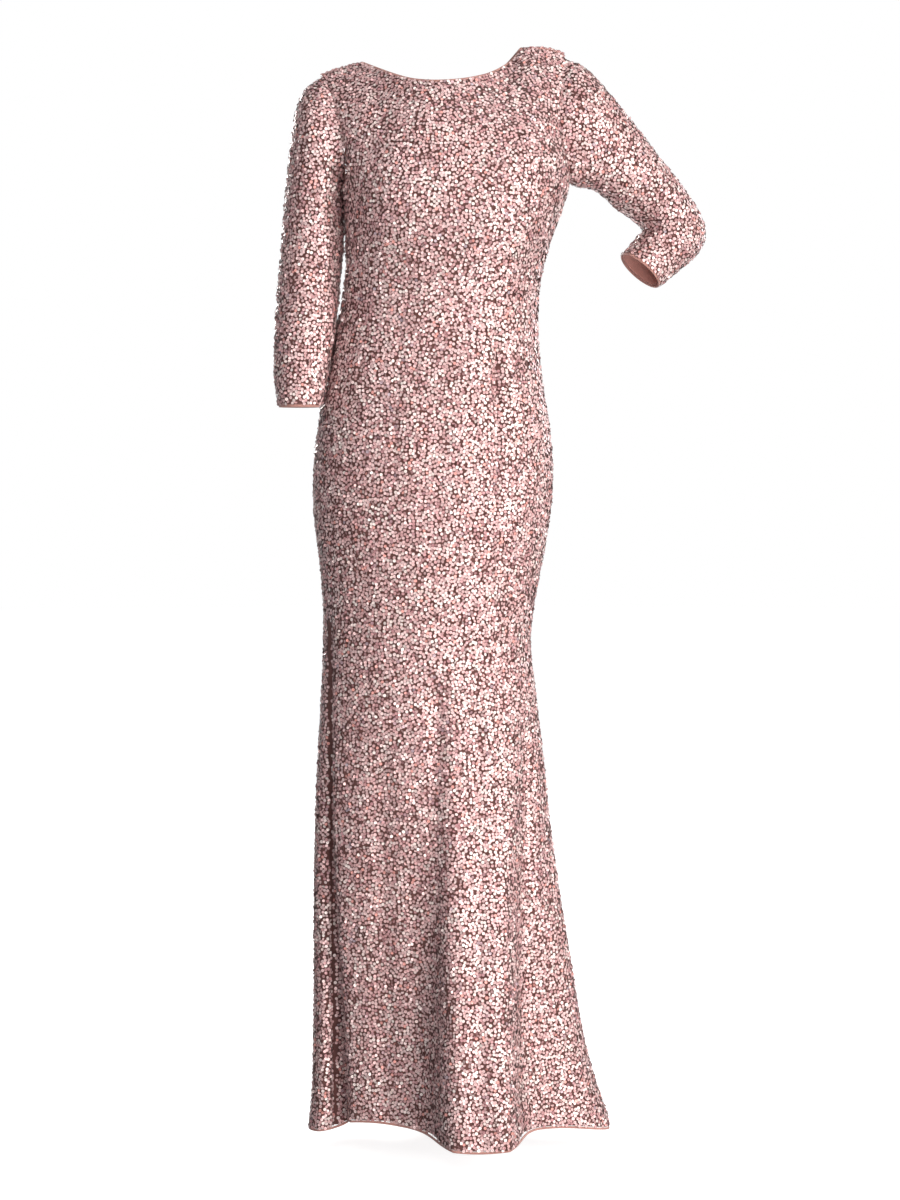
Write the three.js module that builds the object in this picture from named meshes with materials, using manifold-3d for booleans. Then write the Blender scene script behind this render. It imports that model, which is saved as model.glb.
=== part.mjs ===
// Full-length evening gown with a boat neck and three-quarter sleeves, in its worn, hollow form.
// Millimetres, +Z up. The front faces -Y, and the wearer's left is +X.
// The origin is midway between the two neck points of the shoulder seams, where the gown is held.
import * as THREE from "three";
import { mergeVertices } from "three/addons/utils/BufferGeometryUtils.js";
import Module from "manifold-3d";

const wasm = await Module();
wasm.setup();

// Driving sizes
const WALL = 2.0;
const SEAM_GAP = 0.3;
const SIDE_SEAM_Y = 4;
const HEM_Z = -1522;
const UNDERARM_Z = -186;
const HEM_SHAPE_TOP_Z = -1180;
const FRONT_COLUMNS = 36;
const BACK_COLUMNS = 14;
const SHOULDER_COLUMNS = 4;
const SKIRT_ROWS = 27;
const YOKE_ROWS = 9;
const LEAN_COLUMNS = 9;
const EDGE_WIDTH = 3.2;
const EDGE_THICKNESS = 1.6;
const EDGE_GAP = 0.6;
const TAPE_THICKNESS = 1.0;
const TAPE_HALF_WIDTH = 12;
const ZIP_TOP_ROWS_BELOW_NECK = 1;
const ZIP_END_Z = -520;

// How the surfaces are drawn between the tables' places
const FOLD_TURN_POWER = 0.8;
const FOLD_STRAIGHT_SHARE = 0.75;
const FULLNESS_FALL = 1.6;
const LEAN_AT_SHOULDER = 0.4;
const LEAN_AT_NECK = 1.3;
const BOTH_SIDES_REACH = 0.5;
const ONE_SIDE_REACH = 0.95;
const SECTION_STEP_Z = 20;
const FOLDING_IN = 0.15;
const UNLIKE_WALLS = 0.35;
const ALIKE_WALLS = 0.75;

// Sections of the body and skirt from the hem up. left and right are the side seams' x,
// front and back are the depths before and behind the side seams, full is the roundness.
const SECTIONS = [
  { z: -1540, left: -193, right: 245, front: 72, back: 132, full: 2.0 },
  { z: -1490, left: -186, right: 224, front: 74, back: 130, full: 2.0 },
  { z: -1440, left: -184, right: 209, front: 76, back: 128, full: 2.0 },
  { z: -1390, left: -184, right: 199, front: 78, back: 125, full: 2.0 },
  { z: -1326, left: -183, right: 189, front: 80, back: 121, full: 2.0 },
  { z: -1217, left: -183, right: 171, front: 85, back: 114, full: 2.05 },
  { z: -1103, left: -182, right: 154, front: 91, back: 107, full: 2.1 },
  { z: -973, left: -177, right: 140, front: 96, back: 101, full: 2.1 },
  { z: -889, left: -172, right: 130, front: 99, back: 99, full: 2.1 },
  { z: -825, left: -169, right: 122, front: 101, back: 102, full: 2.1 },
  { z: -743, left: -171, right: 135, front: 104, back: 110, full: 2.1 },
  { z: -642, left: -184, right: 153, front: 107, back: 121, full: 2.1 },
  { z: -582, left: -183, right: 156, front: 107, back: 124, full: 2.1 },
  { z: -542, left: -180, right: 154, front: 107, back: 120, full: 2.1 },
  { z: -480, left: -168, right: 143, front: 104, back: 106, full: 2.15 },
  { z: -429, left: -157, right: 136, front: 100, back: 94, full: 2.2 },
  { z: -365, left: -145, right: 133, front: 98, back: 87, full: 2.2 },
  { z: -308, left: -136, right: 137, front: 108, back: 90, full: 2.2 },
  { z: -260, left: -134, right: 152, front: 120, back: 97, full: 2.25 },
  { z: -212, left: -137, right: 169, front: 122, back: 104, full: 2.3 },
  { z: -186, left: -140, right: 179, front: 119, back: 107, full: 2.3 },
];

// Folds of the skirt. Angles are degrees round the body from the front middle towards +X, half is
// the half width in degrees, out is how far the fold stands out at the hem, inwards if negative,
// and edge is the share of the half width that its flank takes.
const FOLDS = [
  { name: "front flute", topZ: -860, topAngle: 30, topHalf: 28,
    hemAngle: 7, hemHalf: 22, out: 90, edge: 0.6 },
  { name: "side valley", topZ: -770, topAngle: -70, topHalf: 9,
    hemAngle: -57, hemHalf: 11, out: -34, edge: 0.9 },
  { name: "side strip", topZ: -800, topAngle: -94, topHalf: 20,
    hemAngle: -84, hemHalf: 22, out: 3, edge: 1 },
  { name: "right side valley", topZ: -1000, topAngle: 66, topHalf: 18,
    hemAngle: 44, hemHalf: 22, out: -10, edge: 1 },
  { name: "left back flute", topZ: -900, topAngle: 128, topHalf: 30,
    hemAngle: 126, hemHalf: 28, out: 36, edge: 0.9 },
  { name: "left back valley", topZ: -960, topAngle: 152, topHalf: 20,
    hemAngle: 151, hemHalf: 16, out: -20, edge: 1 },
  { name: "middle back flute", topZ: -880, topAngle: 184, topHalf: 33,
    hemAngle: 180, hemHalf: 27, out: 52, edge: 0.9 },
  { name: "right back valley", topZ: -940, topAngle: 208, topHalf: 19,
    hemAngle: 210, hemHalf: 16, out: -22, edge: 1 },
  { name: "right back flute", topZ: -910, topAngle: 236, topHalf: 27,
    hemAngle: 236, hemHalf: 25, out: 32, edge: 0.9 },
];

// Fullness that the bust darts give, as two soft cups, and the seat
const FULLNESS = [
  { name: "left cup", angle: 34, z: -236, halfAngle: 34, halfHeight: 84, out: 9 },
  { name: "right cup", angle: -33, z: -240, halfAngle: 34, halfHeight: 84, out: 9 },
  { name: "left seat", angle: 150, z: -575, halfAngle: 34, halfHeight: 110, out: 7 },
  { name: "right seat", angle: 210, z: -575, halfAngle: 34, halfHeight: 110, out: 7 },
];

// How far the hem line stands above or below HEM_Z, by angle
const HEM_LINE = [
  { angle: -180, rise: -8 },
  { angle: -130, rise: -6 },
  { angle: -90, rise: -3 },
  { angle: -62, rise: 0 },
  { angle: -50, rise: 15 },
  { angle: -30, rise: 18 },
  { angle: -12, rise: 8 },
  { angle: -2, rise: 2 },
  { angle: 7, rise: 0 },
  { angle: 18, rise: 3 },
  { angle: 28, rise: 8 },
  { angle: 50, rise: 6 },
  { angle: 84, rise: -3 },
  { angle: 130, rise: -6 },
  { angle: 180, rise: -8 },
];

// Shoulder seams from the sleeve head to the neck. The wearer's left shoulder is raised.
const LEFT_SHOULDER = [
  { x: 171, y: 10, z: 3 },
  { x: 159, y: 12, z: 8 },
  { x: 142, y: 13, z: 12 },
  { x: 113, y: 12, z: 12 },
];
const RIGHT_SHOULDER = [
  { x: -172, y: 10, z: -26 },
  { x: -158, y: 12, z: -20 },
  { x: -144, y: 13, z: -16 },
  { x: -118, y: 12, z: -9 },
];

// Neckline from the wearer's right neck point to the left one, in front and behind
const FRONT_NECK = [
  { x: -118, y: 12, z: -9 },
  { x: -99, y: -8, z: -20 },
  { x: -77, y: -32, z: -32 },
  { x: -45, y: -56, z: -44.5 },
  { x: -12, y: -67, z: -48.5 },
  { x: 24, y: -62, z: -46 },
  { x: 46, y: -50, z: -41 },
  { x: 70, y: -32, z: -32 },
  { x: 98, y: -1, z: -10 },
  { x: 113, y: 12, z: 12 },
];
const BACK_NECK = [
  { x: -118, y: 12, z: -9 },
  { x: -98, y: 36, z: -24 },
  { x: -66, y: 58, z: -40 },
  { x: -32, y: 70, z: -49 },
  { x: -1, y: 74, z: -51 },
  { x: 32, y: 70, z: -44 },
  { x: 66, y: 57, z: -29 },
  { x: 96, y: 34, z: -6 },
  { x: 113, y: 12, z: 12 },
];

// Armhole seams from the underarm up to the sleeve head
const LEFT_ARMHOLE_FRONT = [
  { x: 179, y: 4, z: -186 },
  { x: 178, y: -10, z: -175 },
  { x: 172, y: -26, z: -155 },
  { x: 166, y: -34, z: -128 },
  { x: 165, y: -32, z: -92 },
  { x: 167, y: -22, z: -56 },
  { x: 169, y: -8, z: -25 },
  { x: 171, y: 10, z: 3 },
];
const LEFT_ARMHOLE_BACK = [
  { x: 179, y: 4, z: -186 },
  { x: 177, y: 22, z: -176 },
  { x: 172, y: 44, z: -150 },
  { x: 167, y: 56, z: -112 },
  { x: 165, y: 55, z: -72 },
  { x: 167, y: 38, z: -30 },
  { x: 171, y: 10, z: 3 },
];
const RIGHT_ARMHOLE_FRONT = [
  { x: -140, y: 4, z: -186 },
  { x: -138.5, y: -9, z: -174 },
  { x: -137, y: -30, z: -158 },
  { x: -138, y: -42, z: -134 },
  { x: -143, y: -41, z: -105 },
  { x: -152, y: -30, z: -75 },
  { x: -161, y: -12, z: -47 },
  { x: -172, y: 10, z: -26 },
];
const RIGHT_ARMHOLE_BACK = [
  { x: -140, y: 4, z: -186 },
  { x: -139, y: 22, z: -175 },
  { x: -139, y: 44, z: -152 },
  { x: -144, y: 57, z: -118 },
  { x: -153, y: 54, z: -82 },
  { x: -163, y: 36, z: -48 },
  { x: -172, y: 10, z: -26 },
];

// Sleeve sections from the head to the cuff: the outer and inner ends of each section, the depth
// of its middle, its half depth, and how far its front leans back up the sleeve.
const RIGHT_SLEEVE = [
  { outerX: -197, outerZ: -51, innerX: -141.5, innerZ: -191, y: 6, half: 54, lean: 0, rows: 2 },
  { outerX: -211, outerZ: -98, innerX: -142, innerZ: -199, y: 4, half: 54, lean: 0, rows: 2 },
  { outerX: -221, outerZ: -186, innerX: -143, innerZ: -218, y: 2, half: 51, lean: 0, rows: 1 },
  { outerX: -226, outerZ: -244, innerX: -142.5, innerZ: -258, y: -2, half: 49, lean: 0, rows: 1 },
  { outerX: -230, outerZ: -296, innerX: -143, innerZ: -302, y: -7, half: 47, lean: 0, rows: 2 },
  { outerX: -234, outerZ: -352, innerX: -148, innerZ: -352, y: -16, half: 45, lean: 0, rows: 2 },
  { outerX: -237, outerZ: -412, innerX: -156, innerZ: -412, y: -27, half: 42, lean: 0, rows: 2 },
  { outerX: -236, outerZ: -462, innerX: -165, innerZ: -462, y: -37, half: 38, lean: 0, rows: 2 },
  { outerX: -231, outerZ: -494, innerX: -171, innerZ: -494, y: -44, half: 34, lean: 0, rows: 1 },
];
const LEFT_SLEEVE = [
  { outerX: 197, outerZ: -10, innerX: 188, innerZ: -188, y: 11, half: 48.5, lean: 0, rows: 2 },
  { outerX: 226, outerZ: -39, innerX: 201, innerZ: -187, y: 16, half: 48, lean: 0, rows: 1 },
  { outerX: 259, outerZ: -78, innerX: 216, innerZ: -189, y: 25, half: 48, lean: 0, rows: 1 },
  { outerX: 291, outerZ: -117, innerX: 231, innerZ: -199, y: 36, half: 47, lean: 0, rows: 1 },
  { outerX: 322, outerZ: -153, innerX: 247, innerZ: -212, y: 48, half: 45, lean: 0, rows: 1 },
  { outerX: 350, outerZ: -185, innerX: 264, innerZ: -221, y: 60, half: 44, lean: 0, rows: 1 },
  { outerX: 372, outerZ: -216, innerX: 278, innerZ: -231, y: 69, half: 43, lean: 0, rows: 1 },
  { outerX: 382, outerZ: -247, innerX: 283, innerZ: -240, y: 73, half: 42, lean: 2, rows: 1 },
  { outerX: 371, outerZ: -273, innerX: 279, innerZ: -249, y: 71, half: 41, lean: 4, rows: 1 },
  { outerX: 348, outerZ: -292, innerX: 269, innerZ: -260, y: 64, half: 38, lean: 6, rows: 1 },
  { outerX: 312, outerZ: -321, innerX: 257, innerZ: -274, y: 53, half: 33, lean: 8, rows: 2 },
];

// Slider and pull of the concealed zip
const SLIDER = { width: 7.2, height: 12, thickness: 2, corner: 1.4 };
const BRIDGE = { width: 2, length: 8.4, rise: 4.3, bar: 1.1 };
const PULL = {
  length: 23, topWidth: 5.6, endWidth: 7.6, thickness: 1, holeWidth: 3.2, holeLength: 6.2, bar: 0.7,
};
const PULL_AXIS = { out: 4.2, up: -1.5 };
const SLIDER_BELOW_NECK = 16;

const finish = (color, roughness, metalness) =>
  new THREE.MeshStandardMaterial({ color, roughness, metalness });
const sequinCloth = finish(0xd9a9a5, 0.42, 0.25);
const edgeCloth = finish(0xd98f86, 0.8, 0);
const tapeCloth = finish(0xcf9a94, 0.85, 0);
const zipMetal = finish(0xcbb3ad, 0.32, 0.9);

const clamp01 = (value) => Math.min(1, Math.max(0, value));
const easeInOut = (value) => clamp01(value) ** 2 * (3 - 2 * clamp01(value));
const mix = (a, b, share) => a + (b - a) * share;
const point = ({ x, y, z }) => new THREE.Vector3(x, y, z);

// Value of one named column of a table, smooth between its rows
function readTable(rows, keyColumn, valueColumn, key) {
  const last = rows.length - 1;
  let index = 0;
  while (index < last - 1 && rows[index + 1][keyColumn] < key) index += 1;
  const slopeAt = (row) => {
    const before = rows[Math.max(0, row - 1)];
    const after = rows[Math.min(last, row + 1)];
    return (after[valueColumn] - before[valueColumn]) / (after[keyColumn] - before[keyColumn]);
  };
  const low = rows[index];
  const high = rows[index + 1];
  const span = high[keyColumn] - low[keyColumn];
  const t = clamp01((key - low[keyColumn]) / span);
  const rise = high[valueColumn] - low[valueColumn];
  const start = slopeAt(index) * span;
  const end = slopeAt(index + 1) * span;
  return low[valueColumn] + start * t + (3 * rise - 2 * start - end) * t * t
    + (start + end - 2 * rise) * t * t * t;
}

// Evenly spaced points along a smooth curve through the rows of a table
function along(rows, count) {
  const curve = new THREE.CatmullRomCurve3(rows.map(point), false, "centripetal");
  return Array.from({ length: count + 1 }, (_, index) => curve.getPointAt(index / count));
}

// Angle from the front middle brought to within half a turn of a fold's own angle
function turnBetween(angle, middle) {
  return ((angle - middle + 540) % 360) - 180;
}

function foldDepth(angle, z) {
  let depth = 0;
  for (const fold of FOLDS) {
    const down = clamp01((fold.topZ - z) / (fold.topZ - HEM_Z));
    const middle = mix(fold.topAngle, fold.hemAngle, down ** FOLD_TURN_POWER);
    const half = mix(fold.topHalf, fold.hemHalf, down);
    const across = Math.abs(turnBetween(angle, middle)) / half;
    const deepening = easeInOut(mix(down ** 2, down, FOLD_STRAIGHT_SHARE));
    depth += fold.out * deepening * easeInOut((1 - across) / fold.edge);
  }
  for (const form of FULLNESS) {
    const across = turnBetween(angle, form.angle) / form.halfAngle;
    const up = (z - form.z) / form.halfHeight;
    depth += form.out * Math.exp(-FULLNESS_FALL * (across ** 2 + up ** 2));
  }
  return depth;
}

// Point of the body or skirt at an angle round it and a height
function bodyPoint(angle, z) {
  const read = (name) => readTable(SECTIONS, "z", name, z);
  const turn = THREE.MathUtils.degToRad(angle);
  const middleX = (read("left") + read("right")) / 2;
  const halfWidth = (read("right") - read("left")) / 2;
  const isFront = Math.cos(turn) > 0;
  const depth = isFront ? read("front") : read("back");
  const power = 2 / read("full");
  const bend = (value) => Math.sign(value) * Math.abs(value) ** power;
  const outwards = new THREE.Vector3(Math.sin(turn) * depth, -Math.cos(turn) * halfWidth, 0).normalize();
  const onSection = new THREE.Vector3(
    middleX + halfWidth * bend(Math.sin(turn)),
    SIDE_SEAM_Y - depth * bend(Math.cos(turn)),
    z,
  );
  return onSection.addScaledVector(outwards, foldDepth(angle, z));
}

function hemHeight(angle) {
  const wrapped = angle > 180 ? angle - 360 : angle;
  return HEM_Z + readTable(HEM_LINE, "angle", "rise", wrapped);
}

// Column angles, closer together where the deep side fold and the flute need them
function columnAngles(from, to, count, closer) {
  const steps = 400;
  const density = (angle) => closer.reduce(
    (sum, { at, half, gain }) => sum + gain * Math.exp(-(((angle - at) / half) ** 2)), 1);
  const totals = [0];
  for (let step = 1; step <= steps; step += 1) {
    totals.push(totals[step - 1] + density(mix(from, to, (step - 0.5) / steps)));
  }
  return Array.from({ length: count + 1 }, (_, column) => {
    const wanted = (totals[steps] * column) / count;
    const step = Math.min(steps - 1, Math.max(0, totals.findIndex((total) => total >= wanted) - 1));
    const share = (wanted - totals[step]) / (totals[step + 1] - totals[step]);
    return mix(from, to, (step + share) / steps);
  });
}

// Rows of points from the hem up to the underarm
function skirtRows(angles) {
  return Array.from({ length: SKIRT_ROWS + 1 }, (_, row) => {
    const level = mix(HEM_Z, UNDERARM_Z, row / SKIRT_ROWS);
    const hemShare = easeInOut((HEM_SHAPE_TOP_Z - level) / (HEM_SHAPE_TOP_Z - HEM_Z));
    return angles.map((angle) => bodyPoint(angle, level + (hemHeight(angle) - HEM_Z) * hemShare));
  });
}

// Rows of points from the underarm up to the shoulder seams and the neckline. The columns are
// smooth curves from the section below to the top edge, drawn in at the sides to the armholes.
function yokeRows(angles, top, leans, startSide, endSide) {
  const last = angles.length - 1;
  const belowZ = UNDERARM_Z - SECTION_STEP_Z;
  const reachAcross = last * (startSide && endSide ? BOTH_SIDES_REACH : ONE_SIDE_REACH);
  const arc = (column, share) => {
    const bottom = bodyPoint(angles[column], UNDERARM_Z);
    const reach = bottom.distanceTo(top[column]);
    const rise = bottom.clone().sub(bodyPoint(angles[column], belowZ)).normalize();
    const s2 = share * share;
    const s3 = s2 * share;
    return bottom.clone().multiplyScalar(2 * s3 - 3 * s2 + 1)
      .addScaledVector(rise, (s3 - 2 * s2 + share) * reach)
      .addScaledVector(top[column], 3 * s2 - 2 * s3)
      .addScaledVector(leans[column], (s3 - s2) * reach);
  };
  const rows = [];
  for (let row = 1; row <= YOKE_ROWS; row += 1) {
    const share = row / YOKE_ROWS;
    const startPull = startSide ? startSide[row].clone().sub(arc(0, share)) : new THREE.Vector3();
    const endPull = endSide ? endSide[row].clone().sub(arc(last, share)) : new THREE.Vector3();
    rows.push(angles.map((_, column) => {
      const fromStart = clamp01(1 - column / reachAcross);
      const fromEnd = clamp01(1 - (last - column) / reachAcross);
      return arc(column, share)
        .addScaledVector(startPull, fromStart ** 2)
        .addScaledVector(endPull, fromEnd ** 2);
    }));
  }
  return rows;
}

// Directions in which the cloth reaches the top edge: flat over a shoulder, rising at the neck
function topLeans(top, neckFrom, neckTo, backwards) {
  return top.map((_, column) => {
    const inside = Math.min(column - neckFrom, neckTo - column) / LEAN_COLUMNS;
    const rise = mix(LEAN_AT_SHOULDER, LEAN_AT_NECK, easeInOut(inside));
    return new THREE.Vector3(0, backwards, rise).normalize();
  });
}

const alongReversed = (rows, count) => along(rows, count).reverse();
const joinAt = (...runs) => runs.flatMap((run, index) => (index === 0 ? run : run.slice(1)));

const neckColumnsFront = FRONT_COLUMNS - 2 * SHOULDER_COLUMNS;
const neckColumnsBack = BACK_COLUMNS - SHOULDER_COLUMNS;
const armholes = {
  leftFront: along(LEFT_ARMHOLE_FRONT, YOKE_ROWS),
  leftBack: along(LEFT_ARMHOLE_BACK, YOKE_ROWS),
  rightFront: along(RIGHT_ARMHOLE_FRONT, YOKE_ROWS),
  rightBack: along(RIGHT_ARMHOLE_BACK, YOKE_ROWS),
};

function frontPanel() {
  const angles = columnAngles(-90, 90, FRONT_COLUMNS, [
    { at: -60, half: 12, gain: 1.6 },
    { at: 8, half: 18, gain: 0.9 },
  ]);
  const top = joinAt(
    along(RIGHT_SHOULDER, SHOULDER_COLUMNS),
    along(FRONT_NECK, neckColumnsFront),
    alongReversed(LEFT_SHOULDER, SHOULDER_COLUMNS),
  );
  const leans = topLeans(top, SHOULDER_COLUMNS, FRONT_COLUMNS - SHOULDER_COLUMNS, 1);
  const yoke = yokeRows(angles, top, leans, armholes.rightFront, armholes.leftFront);
  return [...skirtRows(angles), ...yoke];
}

const backNeckRuns = () => {
  const neck = along(BACK_NECK, 2 * neckColumnsBack);
  return { right: neck.slice(0, neckColumnsBack + 1), left: neck.slice(neckColumnsBack) };
};

function backLeftPanel() {
  const angles = columnAngles(90, 180, BACK_COLUMNS, []);
  const top = joinAt(along(LEFT_SHOULDER, SHOULDER_COLUMNS), backNeckRuns().left.reverse());
  const leans = topLeans(top, SHOULDER_COLUMNS, 2 * BACK_COLUMNS, -1);
  const yoke = yokeRows(angles, top, leans, armholes.leftBack, null);
  return [...skirtRows(angles), ...yoke];
}

function backRightPanel() {
  const angles = columnAngles(180, 270, BACK_COLUMNS, []);
  const top = joinAt(backNeckRuns().right.reverse(), alongReversed(RIGHT_SHOULDER, SHOULDER_COLUMNS));
  const leans = topLeans(top, -BACK_COLUMNS, neckColumnsBack, -1);
  const yoke = yokeRows(angles, top, leans, null, armholes.rightBack);
  return [...skirtRows(angles), ...yoke];
}

// Rows of points round a sleeve from its armhole to its cuff. The ring starts at the shoulder.
function sleevePanel(sections, frontSide, backSide, frontFirst) {
  const halfCount = YOKE_ROWS;
  const downFront = [...frontSide].reverse();
  const downBack = [...backSide].reverse();
  const [down, up] = frontFirst ? [downFront, backSide] : [downBack, frontSide];
  const armhole = [...down.slice(0, halfCount), ...up.slice(0, halfCount)];
  const count = armhole.length;
  const frontSign = frontFirst ? 1 : -1;
  const sectionPoint = (section, column) => {
    const turn = (2 * Math.PI * column) / count;
    const outer = new THREE.Vector3(section.outerX, section.y, section.outerZ);
    const inner = new THREE.Vector3(section.innerX, section.y, section.innerZ);
    const middle = outer.clone().add(inner).multiplyScalar(0.5);
    const across = outer.sub(middle);
    const upSleeve = new THREE.Vector3(-across.z, 0, across.x).normalize();
    const forward = new THREE.Vector3(0, -section.half, 0).addScaledVector(upSleeve, section.lean);
    return middle.addScaledVector(across, Math.cos(turn))
      .addScaledVector(forward, Math.sin(turn) * frontSign);
  };
  const spans = sections.map((section) => section.rows);
  const columns = armhole.map((start, column) => {
    const stations = [start, ...sections.map((section) => sectionPoint(section, column))];
    const curve = new THREE.CatmullRomCurve3(stations, false, "centripetal");
    const rows = [stations[0].clone()];
    spans.forEach((steps, span) => {
      for (let step = 1; step <= steps; step += 1) {
        rows.push(curve.getPoint((span + step / steps) / spans.length));
      }
    });
    return rows;
  });
  return columns[0].map((_, row) => columns.map((column) => column[row]));
}

const crossAt = (points, row, column, around) => {
  const rows = points.length;
  const count = points[0].length;
  const pick = (r, c) => points[Math.min(rows - 1, Math.max(0, r))][
    around ? (c + count) % count : Math.min(count - 1, Math.max(0, c))];
  const acrossColumns = pick(row, column + 1).clone().sub(pick(row, column - 1));
  const upRows = pick(row + 1, column).clone().sub(pick(row - 1, column));
  return acrossColumns.cross(upRows).normalize();
};

const placeKey = (p) => `${p.x.toFixed(2)},${p.y.toFixed(2)},${p.z.toFixed(2)}`;

// The cloth panels, each as rows of points on its outer face, with the side that the wall takes
const panels = {
  front: { points: frontPanel(), around: false },
  back_left: { points: backLeftPanel(), around: false },
  back_right: { points: backRightPanel(), around: false },
  sleeve_left: {
    points: sleevePanel(LEFT_SLEEVE, armholes.leftFront, armholes.leftBack, true),
    around: true,
  },
  sleeve_right: {
    points: sleevePanel(RIGHT_SLEEVE, armholes.rightFront, armholes.rightBack, false),
    around: true,
  },
};

// Way from a place on a panel's edge into the panel
function wayInside(panel, row, column) {
  const { points, around } = panel;
  const insideRow = Math.min(points.length - 2, Math.max(1, row));
  const insideColumn = around ? column : Math.min(points[0].length - 2, Math.max(1, column));
  return points[insideRow][insideColumn].clone().sub(points[row][column]).normalize();
}

// Two panels that meet at a seam share the direction of their walls there, so that their edges
// lie face to face. Where they fold in on each other, as under the arm, each keeps its own.
function shareSeamDirections() {
  const meeting = new Map();
  for (const panel of Object.values(panels)) {
    panel.normals = panel.points.map((line, row) =>
      line.map((_, column) => crossAt(panel.points, row, column, panel.around)));
    panel.points.forEach((line, row) => line.forEach((place, column) => {
      const key = placeKey(place);
      const entry = meeting.get(key) ?? [];
      const normal = panel.normals[row][column].clone();
      entry.push({ panel, normal, inside: wayInside(panel, row, column) });
      meeting.set(key, entry);
    }));
  }
  for (const panel of Object.values(panels)) {
    panel.points.forEach((line, row) => line.forEach((place, column) => {
      const found = meeting.get(placeKey(place));
      const own = panel.normals[row][column];
      const others = found.filter((entry) => entry.panel !== panel);
      const shared = found.reduce((sum, entry) => sum.add(entry.normal), new THREE.Vector3());
      if (others.length === 0 || shared.length() < 1e-3) return;
      shared.normalize();
      const foldsIn = Math.max(...others.map((entry) => entry.inside.dot(own)));
      const alike = easeInOut((own.dot(shared) - UNLIKE_WALLS) / (ALIKE_WALLS - UNLIKE_WALLS));
      own.lerp(shared, foldsIn > FOLDING_IN ? alike : 1).normalize();
    }));
  }
}

// Draws each edge of a panel back from its seam by half of the gap, and a little into the hollow
function openSeams(panel) {
  const half = SEAM_GAP / 2;
  const rows = panel.points.length;
  const count = panel.points[0].length;
  const moved = panel.points.map((line) => line.map((place) => place.clone()));
  const draw = (row, column, towardsRow, towardsColumn) => {
    const way = panel.points[towardsRow][towardsColumn].clone().sub(panel.points[row][column]);
    moved[row][column].addScaledVector(way.normalize(), half);
  };
  for (let column = 0; column < count; column += 1) {
    draw(rows - 1, column, rows - 2, column);
    draw(0, column, 1, column);
    const seamRow = panel.around ? 0 : rows - 1;
    moved[seamRow][column].addScaledVector(panel.normals[seamRow][column], -half);
  }
  if (!panel.around) {
    for (let row = 0; row < rows; row += 1) {
      draw(row, 0, row, 1);
      draw(row, count - 1, row, count - 2);
      if (row >= SKIRT_ROWS && row < rows - 1) {
        moved[row][0].addScaledVector(panel.normals[row][0], -half);
        moved[row][count - 1].addScaledVector(panel.normals[row][count - 1], -half);
      }
    }
  }
  return moved;
}

// Closed wall between an outer and an inner face given as rows of points
function wallGeometry(outer, inner, around) {
  const rows = outer.length;
  const count = outer[0].length;
  const vertices = [...outer.flat(), ...inner.flat()].flatMap(({ x, y, z }) => [x, y, z]);
  const outerAt = (row, column) => row * count + (column % count);
  const innerAt = (row, column) => rows * count + outerAt(row, column);
  const faces = [];
  const quad = (a, b, c, d) => faces.push(a, b, d, b, c, d);
  const lastColumn = around ? count : count - 1;
  for (let row = 0; row < rows - 1; row += 1) {
    for (let column = 0; column < lastColumn; column += 1) {
      const above = row + 1;
      quad(outerAt(row, column), outerAt(row, column + 1),
        outerAt(above, column + 1), outerAt(above, column));
      faces.push(innerAt(row, column), innerAt(row + 1, column), innerAt(row, column + 1));
      faces.push(innerAt(row, column + 1), innerAt(row + 1, column), innerAt(row + 1, column + 1));
    }
  }
  for (let column = 0; column < lastColumn; column += 1) {
    quad(outerAt(0, column + 1), outerAt(0, column), innerAt(0, column), innerAt(0, column + 1));
    const top = rows - 1;
    quad(outerAt(top, column), outerAt(top, column + 1), innerAt(top, column + 1), innerAt(top, column));
  }
  if (!around) {
    for (let row = 0; row < rows - 1; row += 1) {
      quad(outerAt(row, 0), outerAt(row + 1, 0), innerAt(row + 1, 0), innerAt(row, 0));
      const end = count - 1;
      quad(outerAt(row + 1, end), outerAt(row, end), innerAt(row, end), innerAt(row + 1, end));
    }
  }
  const geometry = new THREE.BufferGeometry();
  geometry.setAttribute("position", new THREE.Float32BufferAttribute(vertices, 3));
  geometry.setIndex(faces);
  geometry.computeVertexNormals();
  return geometry;
}

const shifted = (points, directions, distance) => points.map((line, row) =>
  line.map((place, column) => place.clone().addScaledVector(directions[row][column], distance)));

function named(name, geometry, material) {
  const mesh = new THREE.Mesh(geometry, material);
  mesh.name = name;
  return mesh;
}

function clothPanel(name) {
  const panel = panels[name];
  const outer = openSeams(panel);
  return named(name, wallGeometry(outer, shifted(outer, panel.normals, -WALL), panel.around), sequinCloth);
}

// A turned edge: a narrow strip that carries the end of the cloth on past its last row of points.
// Each place of the run gives a point of the cloth's edge, the way on and the wall's direction.
function turnedEdge(name, run, around) {
  const last = run.length - 1;
  const placeAt = (index) => run[around ? (index + run.length) % run.length
    : Math.min(last, Math.max(0, index))].place;
  let before = run[0].onwards;
  const ways = run.map(({ normal }, index) => {
    const tangent = placeAt(index + 1).clone().sub(placeAt(index - 1));
    const way = tangent.cross(normal).normalize();
    if (way.dot(before) < 0) way.negate();
    before = way;
    return way;
  });
  const level = (distance, depth) => run.map(({ place, normal }, index) =>
    place.clone().addScaledVector(ways[index], distance).addScaledVector(normal, -depth));
  const inset = (WALL - EDGE_THICKNESS) / 2;
  const outer = [level(EDGE_GAP, inset), level(EDGE_GAP + EDGE_WIDTH, inset)];
  const inner = [level(EDGE_GAP, WALL - inset), level(EDGE_GAP + EDGE_WIDTH, WALL - inset)];
  return named(name, wallGeometry(outer, inner, around), edgeCloth);
}

const edgePlace = (panel, row, column, nextRow) => ({
  place: panel.points[row][column],
  onwards: panel.points[row][column].clone().sub(panel.points[nextRow][column]).normalize(),
  normal: panel.normals[row][column],
});

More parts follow.
